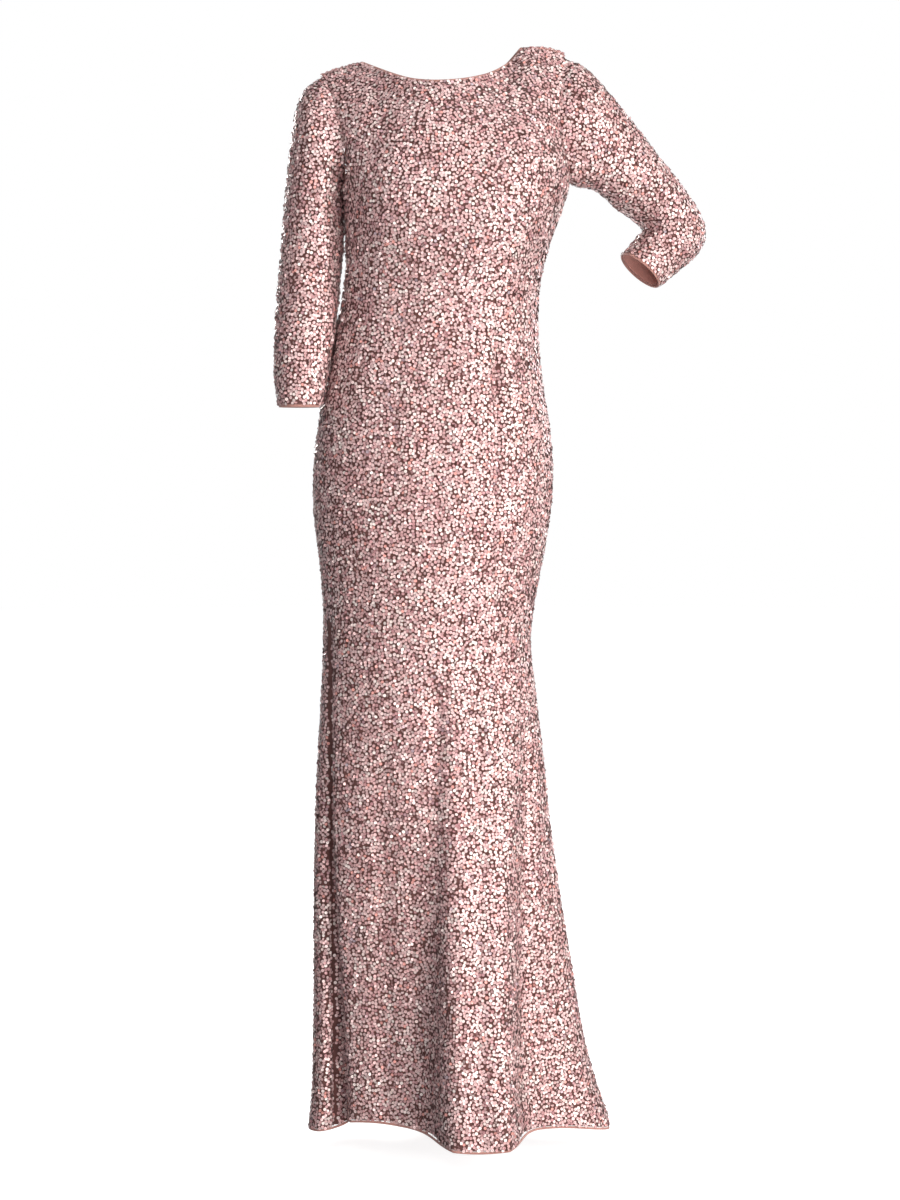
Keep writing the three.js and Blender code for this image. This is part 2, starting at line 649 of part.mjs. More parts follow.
// A place where two panels meet is kept once
function mergeRun(run) {
  return run.filter((entry, index) =>
    index === 0 || entry.place.distanceTo(run[index - 1].place) > 0.01);
}

// The hem runs on downwards, so its ring goes round the other way to keep its faces outwards
function hemEdge() {
  const run = ["front", "back_left", "back_right"].flatMap((name) =>
    panels[name].points[0].map((_, column) => edgePlace(panels[name], 0, column, 1)));
  const ring = mergeRun(run).slice(1);
  return turnedEdge("hem_edge", ring.reverse(), true);
}

function cuffEdge(name, sleeveName) {
  const panel = panels[sleeveName];
  const last = panel.points.length - 1;
  const ring = panel.points[last].map((_, column) => edgePlace(panel, last, column, last - 1));
  return turnedEdge(name, ring, true);
}

function neckEdge() {
  const top = SKIRT_ROWS + YOKE_ROWS;
  const columnsOf = (name, from, to) => Array.from({ length: to - from + 1 }, (_, step) =>
    edgePlace(panels[name], top, from + step, top - 1));
  const run = mergeRun([
    ...columnsOf("back_right", 0, neckColumnsBack),
    ...columnsOf("front", SHOULDER_COLUMNS, FRONT_COLUMNS - SHOULDER_COLUMNS),
    ...columnsOf("back_left", SHOULDER_COLUMNS, BACK_COLUMNS),
  ]);
  const zipHalf = 0.5;
  run[0].place = run[0].place.clone().add(new THREE.Vector3(-zipHalf, 0, 0));
  run[run.length - 1].place = run[run.length - 1].place.clone().add(new THREE.Vector3(zipHalf, 0, 0));
  return turnedEdge("neck_edge", run, false);
}

// The zip's two tapes and coil as one strip behind the middle back seam
function zipTape() {
  const { back_left: left, back_right: right } = panels;
  const top = SKIRT_ROWS + YOKE_ROWS - ZIP_TOP_ROWS_BELOW_NECK;
  const bottom = left.points.findIndex((line) => line[BACK_COLUMNS].z > ZIP_END_Z);
  const rows = Array.from({ length: top - bottom + 1 }, (_, step) => bottom + step);
  const beside = (panel, row, seamColumn, nextColumn) => {
    const [from, to] = [panel.points[row][seamColumn], panel.points[row][nextColumn]];
    const share = Math.min(1, TAPE_HALF_WIDTH / from.distanceTo(to));
    const normal = panel.normals[row][seamColumn].clone().lerp(panel.normals[row][nextColumn], share);
    return { place: from.clone().lerp(to, share), normal: normal.normalize() };
  };
  const strips = rows.map((row) => [
    beside(left, row, BACK_COLUMNS, BACK_COLUMNS - 1),
    { place: left.points[row][BACK_COLUMNS], normal: left.normals[row][BACK_COLUMNS] },
    beside(right, row, 0, 1),
  ]);
  const places = strips.map((strip) => strip.map(({ place }) => place));
  const normals = strips.map((strip) => strip.map(({ normal }) => normal));
  const outer = shifted(places, normals, -(WALL + SEAM_GAP));
  const inner = shifted(places, normals, -(WALL + SEAM_GAP + TAPE_THICKNESS));
  return named("zip_tape", wallGeometry(outer, inner, false), tapeCloth);
}

// Group at the slider: its origin on the middle back seam, +Z up the seam and +Y out of the cloth
function sliderGroup() {
  const line = panels.back_left.points.map((row) => row[BACK_COLUMNS]);
  let row = SKIRT_ROWS + YOKE_ROWS;
  let left = SLIDER_BELOW_NECK;
  while (line[row].distanceTo(line[row - 1]) < left) {
    left -= line[row].distanceTo(line[row - 1]);
    row -= 1;
  }
  const up = line[row].clone().sub(line[row - 1]).setX(0).normalize();
  const out = new THREE.Vector3().crossVectors(up, new THREE.Vector3(1, 0, 0)).normalize();
  const across = new THREE.Vector3().crossVectors(out, up);
  const group = new THREE.Group();
  group.position.copy(line[row]).addScaledVector(up, -left);
  group.quaternion.setFromRotationMatrix(new THREE.Matrix4().makeBasis(across, out, up));
  return group;
}

function roundedPlate(width, bottom, top, corner) {
  const half = width / 2;
  const shape = new THREE.Shape();
  shape.moveTo(-half + corner, bottom);
  shape.lineTo(half - corner, bottom);
  shape.absarc(half - corner, bottom + corner, corner, -Math.PI / 2, 0, false);
  shape.absarc(half - corner, top - corner, corner, 0, Math.PI / 2, false);
  shape.absarc(-half + corner, top - corner, corner, Math.PI / 2, Math.PI, false);
  shape.absarc(-half + corner, bottom + corner, corner, Math.PI, 1.5 * Math.PI, false);
  return shape;
}

// Plate cut from an outline drawn across and up the seam, standing out from a distance off it
function standingPlate(shape, from, thickness) {
  const settings = { depth: thickness, bevelEnabled: false, curveSegments: 4 };
  const geometry = new THREE.ExtrudeGeometry(shape, settings);
  geometry.rotateX(Math.PI / 2);
  geometry.translate(0, from + thickness, 0);
  return geometry;
}

// Staple-shaped bridge over the slider, drawn out and up and as wide as the bridge
function bridgeGeometry(foot) {
  const { width, length, rise, bar } = BRIDGE;
  const half = length / 2;
  const shape = new THREE.Shape();
  shape.moveTo(foot, -half);
  shape.lineTo(foot + rise - bar, -half);
  shape.lineTo(foot + rise, -half + bar);
  shape.lineTo(foot + rise, half - bar);
  shape.lineTo(foot + rise - bar, half);
  shape.lineTo(foot, half);
  shape.lineTo(foot, half - bar);
  shape.lineTo(foot + rise - bar, half - bar);
  shape.lineTo(foot + rise - bar, -half + bar);
  shape.lineTo(foot, -half + bar);
  const geometry = new THREE.ExtrudeGeometry(shape, { depth: width, bevelEnabled: false });
  geometry.translate(0, 0, -width / 2);
  geometry.applyMatrix4(new THREE.Matrix4().makeBasis(
    new THREE.Vector3(0, 1, 0), new THREE.Vector3(0, 0, 1), new THREE.Vector3(1, 0, 0)));
  return geometry;
}

function asSolid(geometry) {
  const bare = geometry.clone();
  bare.deleteAttribute("normal");
  bare.deleteAttribute("uv");
  const merged = mergeVertices(bare, 1e-4);
  return new wasm.Manifold(new wasm.Mesh({
    numProp: 3,
    vertProperties: new Float32Array(merged.attributes.position.array),
    triVerts: new Uint32Array(merged.index.array),
  }));
}

function asGeometry(solid) {
  const mesh = solid.getMesh();
  const geometry = new THREE.BufferGeometry();
  geometry.setAttribute("position", new THREE.Float32BufferAttribute(mesh.vertProperties, 3));
  geometry.setIndex(Array.from(mesh.triVerts));
  geometry.computeVertexNormals();
  return geometry;
}

function zipSlider() {
  const { width, height, thickness, corner } = SLIDER;
  const face = SEAM_GAP + thickness;
  const plate = standingPlate(roundedPlate(width, -height / 2, height / 2, corner), SEAM_GAP, thickness);
  const sunk = 0.3;
  const body = asSolid(plate).add(asSolid(bridgeGeometry(face - sunk)));
  return named("zip_slider", asGeometry(body), zipMetal);
}

// Teardrop pull, hung on the bridge by the bar above its hole, with its turning axis in the bar
function zipPull() {
  const { length, topWidth, endWidth, thickness, holeWidth, holeLength, bar } = PULL;
  const top = PULL_AXIS.up + bar;
  const endRadius = endWidth / 2;
  const endZ = PULL_AXIS.up - length + endRadius;
  const shape = new THREE.Shape();
  shape.moveTo(topWidth / 2, top);
  shape.lineTo(-topWidth / 2, top);
  shape.lineTo(-topWidth / 2, top - holeLength);
  shape.lineTo(-endRadius, endZ);
  shape.absarc(0, endZ, endRadius, Math.PI, 2 * Math.PI, false);
  shape.lineTo(topWidth / 2, top - holeLength);
  const hole = new THREE.Path();
  const holeTop = PULL_AXIS.up - bar;
  hole.moveTo(-holeWidth / 2, holeTop);
  hole.lineTo(holeWidth / 2, holeTop);
  hole.lineTo(holeWidth / 2, holeTop - holeLength);
  hole.lineTo(-holeWidth / 2, holeTop - holeLength);
  shape.holes.push(hole);
  return named("zip_pull", standingPlate(shape, PULL_AXIS.out - thickness / 2, thickness), zipMetal);
}

function zipHardware() {
  const group = sliderGroup();
  group.add(zipSlider(), zipPull());
  return group;
}

shareSeamDirections();

const gown = new THREE.Group();
for (const name of Object.keys(panels)) gown.add(clothPanel(name));
gown.add(
  neckEdge(),
  cuffEdge("cuff_edge_left", "sleeve_left"),
  cuffEdge("cuff_edge_right", "sleeve_right"),
  hemEdge(),
  zipTape(),
  zipHardware(),
);

export default gown;
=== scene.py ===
"""Full-length evening gown covered in small round sequins, in its worn, hollow form.

Metres, +Z up. The front faces -Y, and the wearer's left is +X. The origin is midway between
the two neck points of the shoulder seams, where the gown is held.
"""
from __future__ import annotations

import logging
import math
from collections.abc import Callable, Iterator
from contextlib import contextmanager
from dataclasses import dataclass, field
from enum import Enum

import bmesh
import bpy
import numpy as np
from bpy.types import Material, Mesh, Node, NodeTree, Object, bpy_prop_collection
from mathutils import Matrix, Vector, kdtree, noise

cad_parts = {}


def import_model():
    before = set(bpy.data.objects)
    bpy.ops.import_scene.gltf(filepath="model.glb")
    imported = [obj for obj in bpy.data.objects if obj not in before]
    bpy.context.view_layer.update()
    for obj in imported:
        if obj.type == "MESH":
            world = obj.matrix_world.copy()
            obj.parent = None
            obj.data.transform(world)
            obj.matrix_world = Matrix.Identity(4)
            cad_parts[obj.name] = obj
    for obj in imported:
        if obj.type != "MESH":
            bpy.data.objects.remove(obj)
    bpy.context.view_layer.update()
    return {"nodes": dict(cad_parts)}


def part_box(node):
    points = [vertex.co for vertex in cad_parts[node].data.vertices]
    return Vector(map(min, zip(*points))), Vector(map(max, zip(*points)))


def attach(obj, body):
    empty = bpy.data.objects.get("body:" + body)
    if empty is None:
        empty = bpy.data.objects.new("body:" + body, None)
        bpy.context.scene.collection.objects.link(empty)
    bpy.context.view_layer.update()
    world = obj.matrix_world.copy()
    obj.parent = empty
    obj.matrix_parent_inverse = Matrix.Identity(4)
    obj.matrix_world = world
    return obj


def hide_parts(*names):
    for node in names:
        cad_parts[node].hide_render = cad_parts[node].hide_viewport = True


log = logging.getLogger("gown")

WALL = 0.002
SEQUIN_RADIUS = 0.00255
SEQUIN_SPACING = 0.0037
SEAM_GAP = 0.0016
GOWN = "gown"
PULL = "pull"

Colour = tuple[float, float, float]
Place = tuple[float, float, float]
Rows = np.ndarray


class Side(Enum):
    """The way that the cloth faces where a crease is pressed, as x and y, for the wearer's sides."""

    FRONT = (0.0, -1.0)
    BACK = (0.0, 1.0)
    LEFT = (1.0, 0.0)
    RIGHT = (-1.0, 0.0)


@dataclass(frozen=True)
class Crease:
    """A soft trough, or a ridge where its depth is negative, along a path of x and z places.

    Where the cloth is folded in on itself, no sequin shows within bare of the path, so the dark tulle
    shows as painted shade.
    """

    path: tuple[tuple[float, float], ...]
    width: float
    depth: float
    side: Side = Side.FRONT
    unevenness: float = 0.25
    bare: float = 0.0

    def _follow(self, places: Rows) -> tuple[Rows, Rows]:
        """Finds how far each place is from the path, and how far along the path that is.

        Args:
            places: points, one a row.

        Returns:
            Distances in metres, and shares of the path from 0 to 1.
        """
        flat = places[:, (0, 2)]
        nearest = np.full(len(flat), np.inf)
        share = np.zeros(len(flat))
        corners = np.array(self.path)
        steps = len(corners) - 1
        for index, (start, end) in enumerate(zip(corners, corners[1:])):
            run = end - start
            along = np.clip((flat - start) @ run / (run @ run), 0, 1)
            distance = np.linalg.norm(flat - start - along[:, None] * run, axis=1)
            closer = distance < nearest
            nearest = np.where(closer, distance, nearest)
            share = np.where(closer, (index + along) / steps, share)
        return nearest, share

    def press(self, places: Rows, normals: Rows) -> Rows:
        """Works out how deep the crease lies at each place of a sheet.

        Args:
            places: the sheet's points, one a row.
            normals: the sheet's outward directions at those points.

        Returns:
            The depth at each point, in metres, measured inwards.
        """
        steepness, past_side = 3, 0.6
        swells, shift = 9, 100
        nearest, share = self._follow(places)
        facing = np.clip(normals[:, :2] @ np.array(self.side.value) * steepness + past_side, 0, 1)
        wave = np.sin(swells * share + shift * self.path[0][0])
        swell = 1 - self.unevenness * (0.5 + 0.5 * wave)
        return self.depth * swell * facing * np.exp(-((nearest / self.width) ** 2))

    def hides(self, places: Rows, normals: Rows) -> Rows:
        """Says which places lie so deep in the fold that no sequin shows there.

        Args:
            places: points, one a row.
            normals: the sheet's outward directions at those points.

        Returns:
            True for each place that is hidden.
        """
        nearest, _ = self._follow(places)
        return (nearest < self.bare) & (normals[:, :2] @ np.array(self.side.value) > 0)


def ridges(side: Side, *paths: tuple[tuple[float, float], ...]) -> tuple[Crease, ...]:
    """Makes shallow bulges along paths, where an arm and the body hang against each other."""
    return tuple(Crease(path, 0.013, -0.0026, side, unevenness=0.1) for path in paths)


BODY_BESIDE_ARM = ridges(
    Side.RIGHT,
    ((-0.141, -0.190), (-0.139, -0.275)),
    ((-0.147, -0.385), (-0.158, -0.450), (-0.167, -0.495)))
ARM_BESIDE_BODY = ridges(
    Side.LEFT,
    ((-0.1435, -0.190), (-0.145, -0.275)),
    ((-0.152, -0.385), (-0.163, -0.450), (-0.171, -0.490)))

# Creases of the front, from the neck down
FRONT_CREASES = (
    Crease(((0.075, -0.375), (0.0755, -0.49), (0.0745, -0.615)), 0.0046, 0.0044),
    Crease(((0.0755, -0.433), (0.076, -0.473)), 0.013, 0.0075, bare=0.0013),
    Crease(((-0.060, -0.385), (-0.064, -0.50), (-0.066, -0.60)), 0.0042, 0.0020),
    Crease(((0.052, -0.452), (0.100, -0.446), (0.125, -0.436)), 0.008, 0.0028),
    Crease(((-0.110, -0.448), (-0.075, -0.455), (-0.038, -0.452)), 0.009, 0.0024),
    Crease(((0.150, -0.205), (0.128, -0.228), (0.106, -0.240)), 0.0052, 0.0024),
    Crease(((-0.135, -0.141), (-0.138, -0.182)), 0.0045, 0.0040),
    Crease(((-0.133, -0.21), (-0.112, -0.232)), 0.0055, 0.0022),
    Crease(((-0.008, -0.900), (-0.013, -1.20), (-0.019, -1.53)), 0.012, 0.0056),
    Crease(((0.118, -0.950), (0.117, -1.20), (0.116, -1.53)), 0.010, 0.0066),
    Crease(((0.095, -1.00), (0.092, -1.25), (0.090, -1.53)), 0.013, -0.0034),
    Crease(
        ((-0.1590, -0.80), (-0.1585, -1.15), (-0.154, -1.53)), 0.0034, 0.0046,
        unevenness=0.1, bare=0.0026),
    Crease(((-0.085, -0.98), (-0.083, -1.25), (-0.080, -1.53)), 0.016, 0.0040),
    Crease(((0.046, -0.93), (0.050, -1.22), (0.052, -1.53)), 0.011, 0.0028),
)

# Creases of the back, made like those of the front and guessed
BACK_CREASES = (
    Crease(((0.068, -0.36), (0.070, -0.48), (0.068, -0.585)), 0.0042, 0.0030, Side.BACK),
    Crease(((-0.072, -0.36), (-0.076, -0.48), (-0.076, -0.585)), 0.0042, 0.0030, Side.BACK),
    Crease(((0.020, -0.436), (0.060, -0.446), (0.110, -0.438)), 0.009, 0.0034, Side.BACK),
    Crease(((-0.022, -0.446), (-0.060, -0.455), (-0.115, -0.446)), 0.009, 0.0030, Side.BACK),
    Crease(((0.030, -0.472), (0.080, -0.480), (0.120, -0.468)), 0.010, 0.0024, Side.BACK),
    Crease(((0.060, -1.02), (0.066, -1.26), (0.072, -1.53)), 0.012, 0.0056, Side.BACK),
    Crease(((-0.095, -1.00), (-0.099, -1.26), (-0.102, -1.53)), 0.011, 0.0060, Side.BACK),
    Crease(((-0.030, -1.08), (-0.034, -1.30), (-0.036, -1.53)), 0.014, 0.0040, Side.BACK),
    Crease(((0.130, -1.05), (0.142, -1.28), (0.152, -1.53)), 0.013, 0.0046, Side.BACK),
)

LEFT_SLEEVE_CREASES = (
    Crease(((0.283, -0.2396), (0.318, -0.236), (0.360, -0.231)), 0.0055, 0.0044),
    Crease(((0.284, -0.252), (0.315, -0.250), (0.346, -0.248)), 0.0065, -0.0016),
    Crease(((0.2835, -0.2340), (0.305, -0.222), (0.322, -0.206)), 0.0055, 0.0024),
    Crease(((0.189, -0.171), (0.204, -0.163), (0.222, -0.152)), 0.0045, 0.0026),
    Crease(((0.186, -0.150), (0.202, -0.140)), 0.006, 0.0016),
    Crease(((0.282, -0.240), (0.315, -0.238), (0.350, -0.236)), 0.007, 0.0036, Side.BACK),
    Crease(((0.200, -0.168), (0.222, -0.156)), 0.006, 0.0022, Side.BACK),
    Crease(((0.240, -0.110), (0.262, -0.150)), 0.010, 0.0014),
)

RIGHT_SLEEVE_CREASES = (
    Crease(((-0.146, -0.300), (-0.172, -0.294), (-0.196, -0.298)), 0.0055, 0.0024),
    Crease(((-0.147, -0.326), (-0.166, -0.322)), 0.005, 0.0018),
    Crease(((-0.232, -0.352), (-0.210, -0.346), (-0.190, -0.350)), 0.007, 0.0016),
    Crease(((-0.147, -0.205), (-0.162, -0.192), (-0.174, -0.176)), 0.005, 0.0024),
    Crease(((-0.150, -0.315), (-0.185, -0.307), (-0.220, -0.312)), 0.007, 0.0022, Side.BACK),
    Crease(((-0.150, -0.200), (-0.170, -0.185)), 0.006, 0.0022, Side.BACK),
)


def fill(node: Node, values: dict[str | int, object]) -> None:
    """Sets the constants of a node's inputs."""
    for entry, value in values.items():
        node.inputs[entry].default_value = value


class NodeBench:
    """Adds nodes to a material's or a node group's tree and joins them up."""

    def __init__(self, tree: NodeTree) -> None:
        """Keeps the tree to work on."""
        self.tree = tree

    def add(self, kind: str, **values: object) -> Node:
        """Adds a node.

        Args:
            kind: the node's type name.
            values: properties of the node to set.

        Returns:
            The new node.
        """
        node = self.tree.nodes.new(kind)
        for name, value in values.items():
            setattr(node, name, value)
        return node

    def open_sockets(self, way: str, sockets: dict[str, str]) -> Node:
        """Gives a node group its sockets of one way, and adds the node that holds them.

        Args:
            way: Input or Output.
            sockets: the kind of each socket by its name.

        Returns:
            The node.
        """
        for name, kind in sockets.items():
            self.tree.interface.new_socket(name, in_out=way.upper(), socket_type=f"NodeSocket{kind}")
        return self.add(f"NodeGroup{way}")

    def join(self, source: Node, output: str, target: Node, entry: str | int) -> None:
        """Links a node's output to another node's input."""
        self.tree.links.new(source.outputs[output], target.inputs[entry])

    def ramp(self, stops: tuple[tuple[float, Colour], ...]) -> Node:
        """Adds a colour ramp with the given stops, of a place and a colour each."""
        node = self.add("ShaderNodeValToRGB")
        ramp = node.color_ramp
        for place, colour in stops[1:-1]:
            ramp.elements.new(place).color = (*colour, 1)
        ramp.elements[0].position, ramp.elements[0].color = stops[0][0], (*stops[0][1], 1)
        ramp.elements[-1].position, ramp.elements[-1].color = stops[-1][0], (*stops[-1][1], 1)
        return node


def find_or_make(name: str, dress: Callable[[NodeBench, Node], None]) -> Material:
    """Gives back a material, or makes it where it is new.

    Args:
        name: the material's name.
        dress: what sets a new material's nodes, from its bench and its shader.

    Returns:
        The material.
    """
    if name in bpy.data.materials:
        return bpy.data.materials[name]
    material = bpy.data.materials.new(name)
    material.use_nodes = True
    dress(NodeBench(material.node_tree), material.node_tree.nodes["Principled BSDF"])
    return material


def thread_weave() -> NodeTree:
    """Makes the node group for woven threads, with uneven dye, painted shade in the weave's hollows and a
    fine relief.

    Returns:
        The group, which puts out a colour and a height.
    """
    name = "thread_weave"
    if name in bpy.data.node_groups:
        return bpy.data.node_groups[name]
    group = bpy.data.node_groups.new(name, "ShaderNodeTree")
    bench = NodeBench(group)
    given = bench.open_sockets(
        "Input", {"Threads": "Float", "Deep Dye And Shade Colour": "Color", "Raised Colour": "Color"})
    result = bench.open_sockets("Output", {"Colour": "Color", "Height": "Float"})
    place = bench.add("ShaderNodeTexCoord")
    scaled = bench.add("ShaderNodeVectorMath", operation="SCALE")
    bench.join(place, "Object", scaled, 0)
    bench.join(given, "Threads", scaled, "Scale")
    warp = bench.add("ShaderNodeTexWave", wave_type="BANDS", bands_direction="Z")
    weft = bench.add("ShaderNodeTexWave", wave_type="BANDS", bands_direction="DIAGONAL")
    for wave in (warp, weft):
        fill(wave, {"Scale": 1.0, "Distortion": 1.2, "Detail": 1.0})
        bench.join(scaled, "Vector", wave, "Vector")
    height = bench.add("ShaderNodeMath", operation="MULTIPLY")
    bench.join(warp, "Fac", height, 0)
    bench.join(weft, "Fac", height, 1)
    dye = bench.add("ShaderNodeTexNoise")
    fill(dye, {"Scale": 45.0, "Detail": 4.0})
    bench.join(place, "Object", dye, "Vector")
    # Painted shade: where the weave lies low, the colour turns towards the deep one, mixed with the
    # uneven dye.
    share = bench.add("ShaderNodeMath", operation="MULTIPLY_ADD")
    fill(share, {1: 0.55})
    bench.join(height, "Value", share, 0)
    bench.join(dye, "Fac", share, 2)
    blend = bench.add("ShaderNodeMix", data_type="RGBA")
    bench.join(share, "Value", blend, "Factor")
    bench.join(given, "Deep Dye And Shade Colour", blend, "A")
    bench.join(given, "Raised Colour", blend, "B")
    bench.join(blend, "Result", result, "Colour")
    bench.join(height, "Value", result, "Height")
    return group


@dataclass(frozen=True)
class WovenFinish:
    """Woven cloth or tape, with its thread count and its two colours, apart by uneven dye and by painted
    shade in the weave's hollows.
    """

    name: str
    deep: Colour
    raised: Colour
    threads: float
    relief: float
    roughness: float
    sheen: float

    def material(self) -> Material:
        """Gives the material."""
        return find_or_make(self.name, self._dress)

    def _dress(self, bench: NodeBench, shader: Node) -> None:
        """Sets the weave, its colours and its relief."""
        fill(shader, {"Roughness": self.roughness, "Sheen Weight": self.sheen})
        weave = bench.add("ShaderNodeGroup", node_tree=thread_weave())
        fill(weave, {
            "Threads": self.threads,
            "Deep Dye And Shade Colour": (*self.deep, 1),
            "Raised Colour": (*self.raised, 1),
        })
        bump = bench.add("ShaderNodeBump")
        fill(bump, {"Strength": 0.6, "Distance": self.relief})
        bench.join(weave, "Height", bump, "Height")
        bench.join(bump, "Normal", shader, "Normal")
        bench.join(weave, "Colour", shader, "Base Color")


@dataclass(frozen=True)
class SequinFinish:
    """Cupped sequins of satin foil, with tints from lavender grey to warm white."""

    name: str = "sequin_foil"
    metallic: float = 0.2
    roughness: float = 0.38
    # Painted shade by the share of the radius: the real middle hole is painted dark, and the rim is
    # shaded where discs overlap.
    shade_by_reach: tuple[tuple[float, Colour], ...] = (
        (0.08, (0.0, 0.0, 0.0)),
        (0.24, (1.0, 1.0, 1.0)),
        (0.76, (1.0, 1.0, 1.0)),
        (0.98, (0.08, 0.08, 0.08)),
    )
    tints: tuple[tuple[float, Colour], ...] = (
        (0.00, (0.42, 0.33, 0.37)),
        (0.14, (0.50, 0.24, 0.25)),
        (0.40, (0.68, 0.40, 0.39)),
        (0.72, (0.80, 0.56, 0.55)),
        (0.93, (0.94, 0.81, 0.76)),
        (1.00, (0.78, 0.35, 0.31)),
    )
    # The colour of the painted shade in each sequin's hole and at its rim.
    shade: Colour = (0.040, 0.011, 0.009)

    def material(self) -> Material:
        """Gives the material."""
        return find_or_make(self.name, self._dress)

    def _dress(self, bench: NodeBench, shader: Node) -> None:
        """Sets each sequin's tint, the painted shade of its hole and of its rim, and its gloss."""
        fill(shader, {"Metallic": self.metallic, "Coat Weight": 0.3, "Coat Roughness": 0.12})
        tint = bench.add("ShaderNodeAttribute", attribute_name="tint")
        colours = bench.ramp(self.tints)
        bench.join(tint, "Fac", colours, "Fac")
        reach = bench.add("ShaderNodeAttribute", attribute_name="from_centre")
        painted_shade_mask = bench.ramp(self.shade_by_reach)
        bench.join(reach, "Fac", painted_shade_mask, "Fac")
        blend = bench.add("ShaderNodeMix", data_type="RGBA")
        fill(blend, {"A": (*self.shade, 1)})
        bench.join(painted_shade_mask, "Color", blend, "Factor")
        bench.join(colours, "Color", blend, "B")
        bench.join(blend, "Result", shader, "Base Color")
        rough = bench.add("ShaderNodeMapRange")
        fill(rough, {"To Min": self.roughness - 0.08, "To Max": self.roughness + 0.10})
        bench.join(tint, "Fac", rough, "Value")
        bench.join(rough, "Result", shader, "Roughness")


@dataclass(frozen=True)
class EnamelFinish:
    """Satin enamel over zip metal, with fine scratches and a little rubbed edge."""

    name: str = "zip_enamel"
    colour: Colour = (0.52, 0.33, 0.30)
    rubbed: Colour = (0.72, 0.62, 0.58)
    roughness: float = 0.34

    def material(self) -> Material:
        """Gives the material."""
        return find_or_make(self.name, self._dress)

    def _dress(self, bench: NodeBench, shader: Node) -> None:
        """Sets the enamel's scuffs in colour, gloss and relief."""
        fill(shader, {"Metallic": 0.85})
        place = bench.add("ShaderNodeTexCoord")
        scuffs = bench.add("ShaderNodeTexNoise")
        fill(scuffs, {"Scale": 900.0, "Detail": 6.0})
        bench.join(place, "Object", scuffs, "Vector")
        colours = bench.ramp(((0.35, self.colour), (0.75, self.rubbed)))
        bench.join(scuffs, "Fac", colours, "Fac")
        bench.join(colours, "Color", shader, "Base Color")
        rough = bench.add("ShaderNodeMapRange")
        fill(rough, {"To Min": self.roughness - 0.12, "To Max": self.roughness + 0.16})
        bench.join(scuffs, "Fac", rough, "Value")
        bench.join(rough, "Result", shader, "Roughness")
        bump = bench.add("ShaderNodeBump")
        fill(bump, {"Strength": 0.15, "Distance": 0.00005})
        bench.join(scuffs, "Fac", bump, "Height")
        bench.join(bump, "Normal", shader, "Normal")


# The tulle's own dark rose is darkened further as painted shade for the gaps between the sequins and the
# bare fold lines.
TULLE = WovenFinish("rose_tulle", (0.050, 0.014, 0.011), (0.15, 0.050, 0.042), 1100.0, 0.0004, 0.75, 0.2)
LINING = WovenFinish("salmon_lining", (0.46, 0.185, 0.15), (0.66, 0.31, 0.26), 1500.0, 0.0002, 0.7, 0.3)
EDGE = WovenFinish("salmon_edge", (0.34, 0.14, 0.11), (0.50, 0.25, 0.21), 1600.0, 0.0003, 0.65, 0.3)
TAPE = WovenFinish("zip_tape_weave", (0.40, 0.20, 0.17), (0.60, 0.35, 0.31), 900.0, 0.0004, 0.8, 0.1)


def select_only(piece: Object) -> None:
    """Makes a piece the one selected and active object."""
    if bpy.context.object and bpy.context.object.mode != "OBJECT":
        bpy.ops.object.mode_set(mode="OBJECT")
    bpy.ops.object.select_all(action="DESELECT")
    piece.select_set(True)
    bpy.context.view_layer.objects.active = piece


def apply_modifiers(piece: Object) -> None:
    """Applies a piece's modifiers in their order."""
    select_only(piece)
    for modifier in list(piece.modifiers):
        bpy.ops.object.modifier_apply(modifier=modifier.name)


def new_piece(name: str, mesh: Mesh) -> Object:
    """Links a mesh to the scene as an object at the origin."""
    piece = bpy.data.objects.new(name, mesh)
    bpy.context.scene.collection.objects.link(piece)
    return piece


def paint(piece: Object, *materials: Material) -> None:
    """Gives a piece its materials, in place of any that it has."""
    piece.data.materials.clear()
    for material in materials:
        piece.data.materials.append(material)


def round_off(piece: Object, levels: int, border: str = "PRESERVE_CORNERS") -> None:
    """Rounds a piece by subdivision and applies it.

    Args:
        piece: the piece to round.
        levels: how often its faces are halved.
        border: how open edges are treated, as Blender names it.
    """
    rounding = piece.modifiers.new("rounding", "SUBSURF")
    rounding.levels = levels
    rounding.render_levels = levels
    rounding.boundary_smooth = border
    apply_modifiers(piece)


@contextmanager
def opened(piece: Object, merge: float = 0.0) -> Iterator[bmesh.types.BMesh]:
    """Opens a piece's mesh for editing and writes it back.

    Args:
        piece: the piece to edit.
        merge: how close together points are merged first, 0 for none.

    Yields:
        The open mesh.
    """
    mesh = bmesh.new()
    mesh.from_mesh(piece.data)
    if merge:
        bmesh.ops.remove_doubles(mesh, verts=mesh.verts, dist=merge)
    yield mesh
    mesh.to_mesh(piece.data)
    mesh.free()


def search_tree(places: Rows | list[Rows]) -> kdtree.KDTree:
    """Makes a tree that finds the nearest of the given places.

    Args:
        places: the places, one a row.

    Returns:
        The search tree.
    """
    tree = kdtree.KDTree(len(places))
    for index, place in enumerate(places):
        tree.insert(place, index)
    tree.balance()
    return tree


def read_rows(source: bpy_prop_collection, name: str) -> Rows:
    """Reads a vector of every element.

    Args:
        source: the elements to read.
        name: what is read of each.

    Returns:
        The vectors, one a row.
    """
    rows = np.empty(len(source) * 3, np.float32)
    source.foreach_get(name, rows)
    return rows.reshape(-1, 3).astype(float)


def vertex_numbers(mesh: Mesh) -> tuple[Rows, Rows]:
    """Reads a mesh's vertex places and normals, one a row."""
    return read_rows(mesh.vertices, "co"), read_rows(mesh.vertex_normals, "vector")


def set_places(mesh: Mesh, places: Rows) -> None:
    """Moves a mesh's vertices to new places."""
    mesh.vertices.foreach_set("co", places.astype(np.float32).ravel())
    mesh.update()


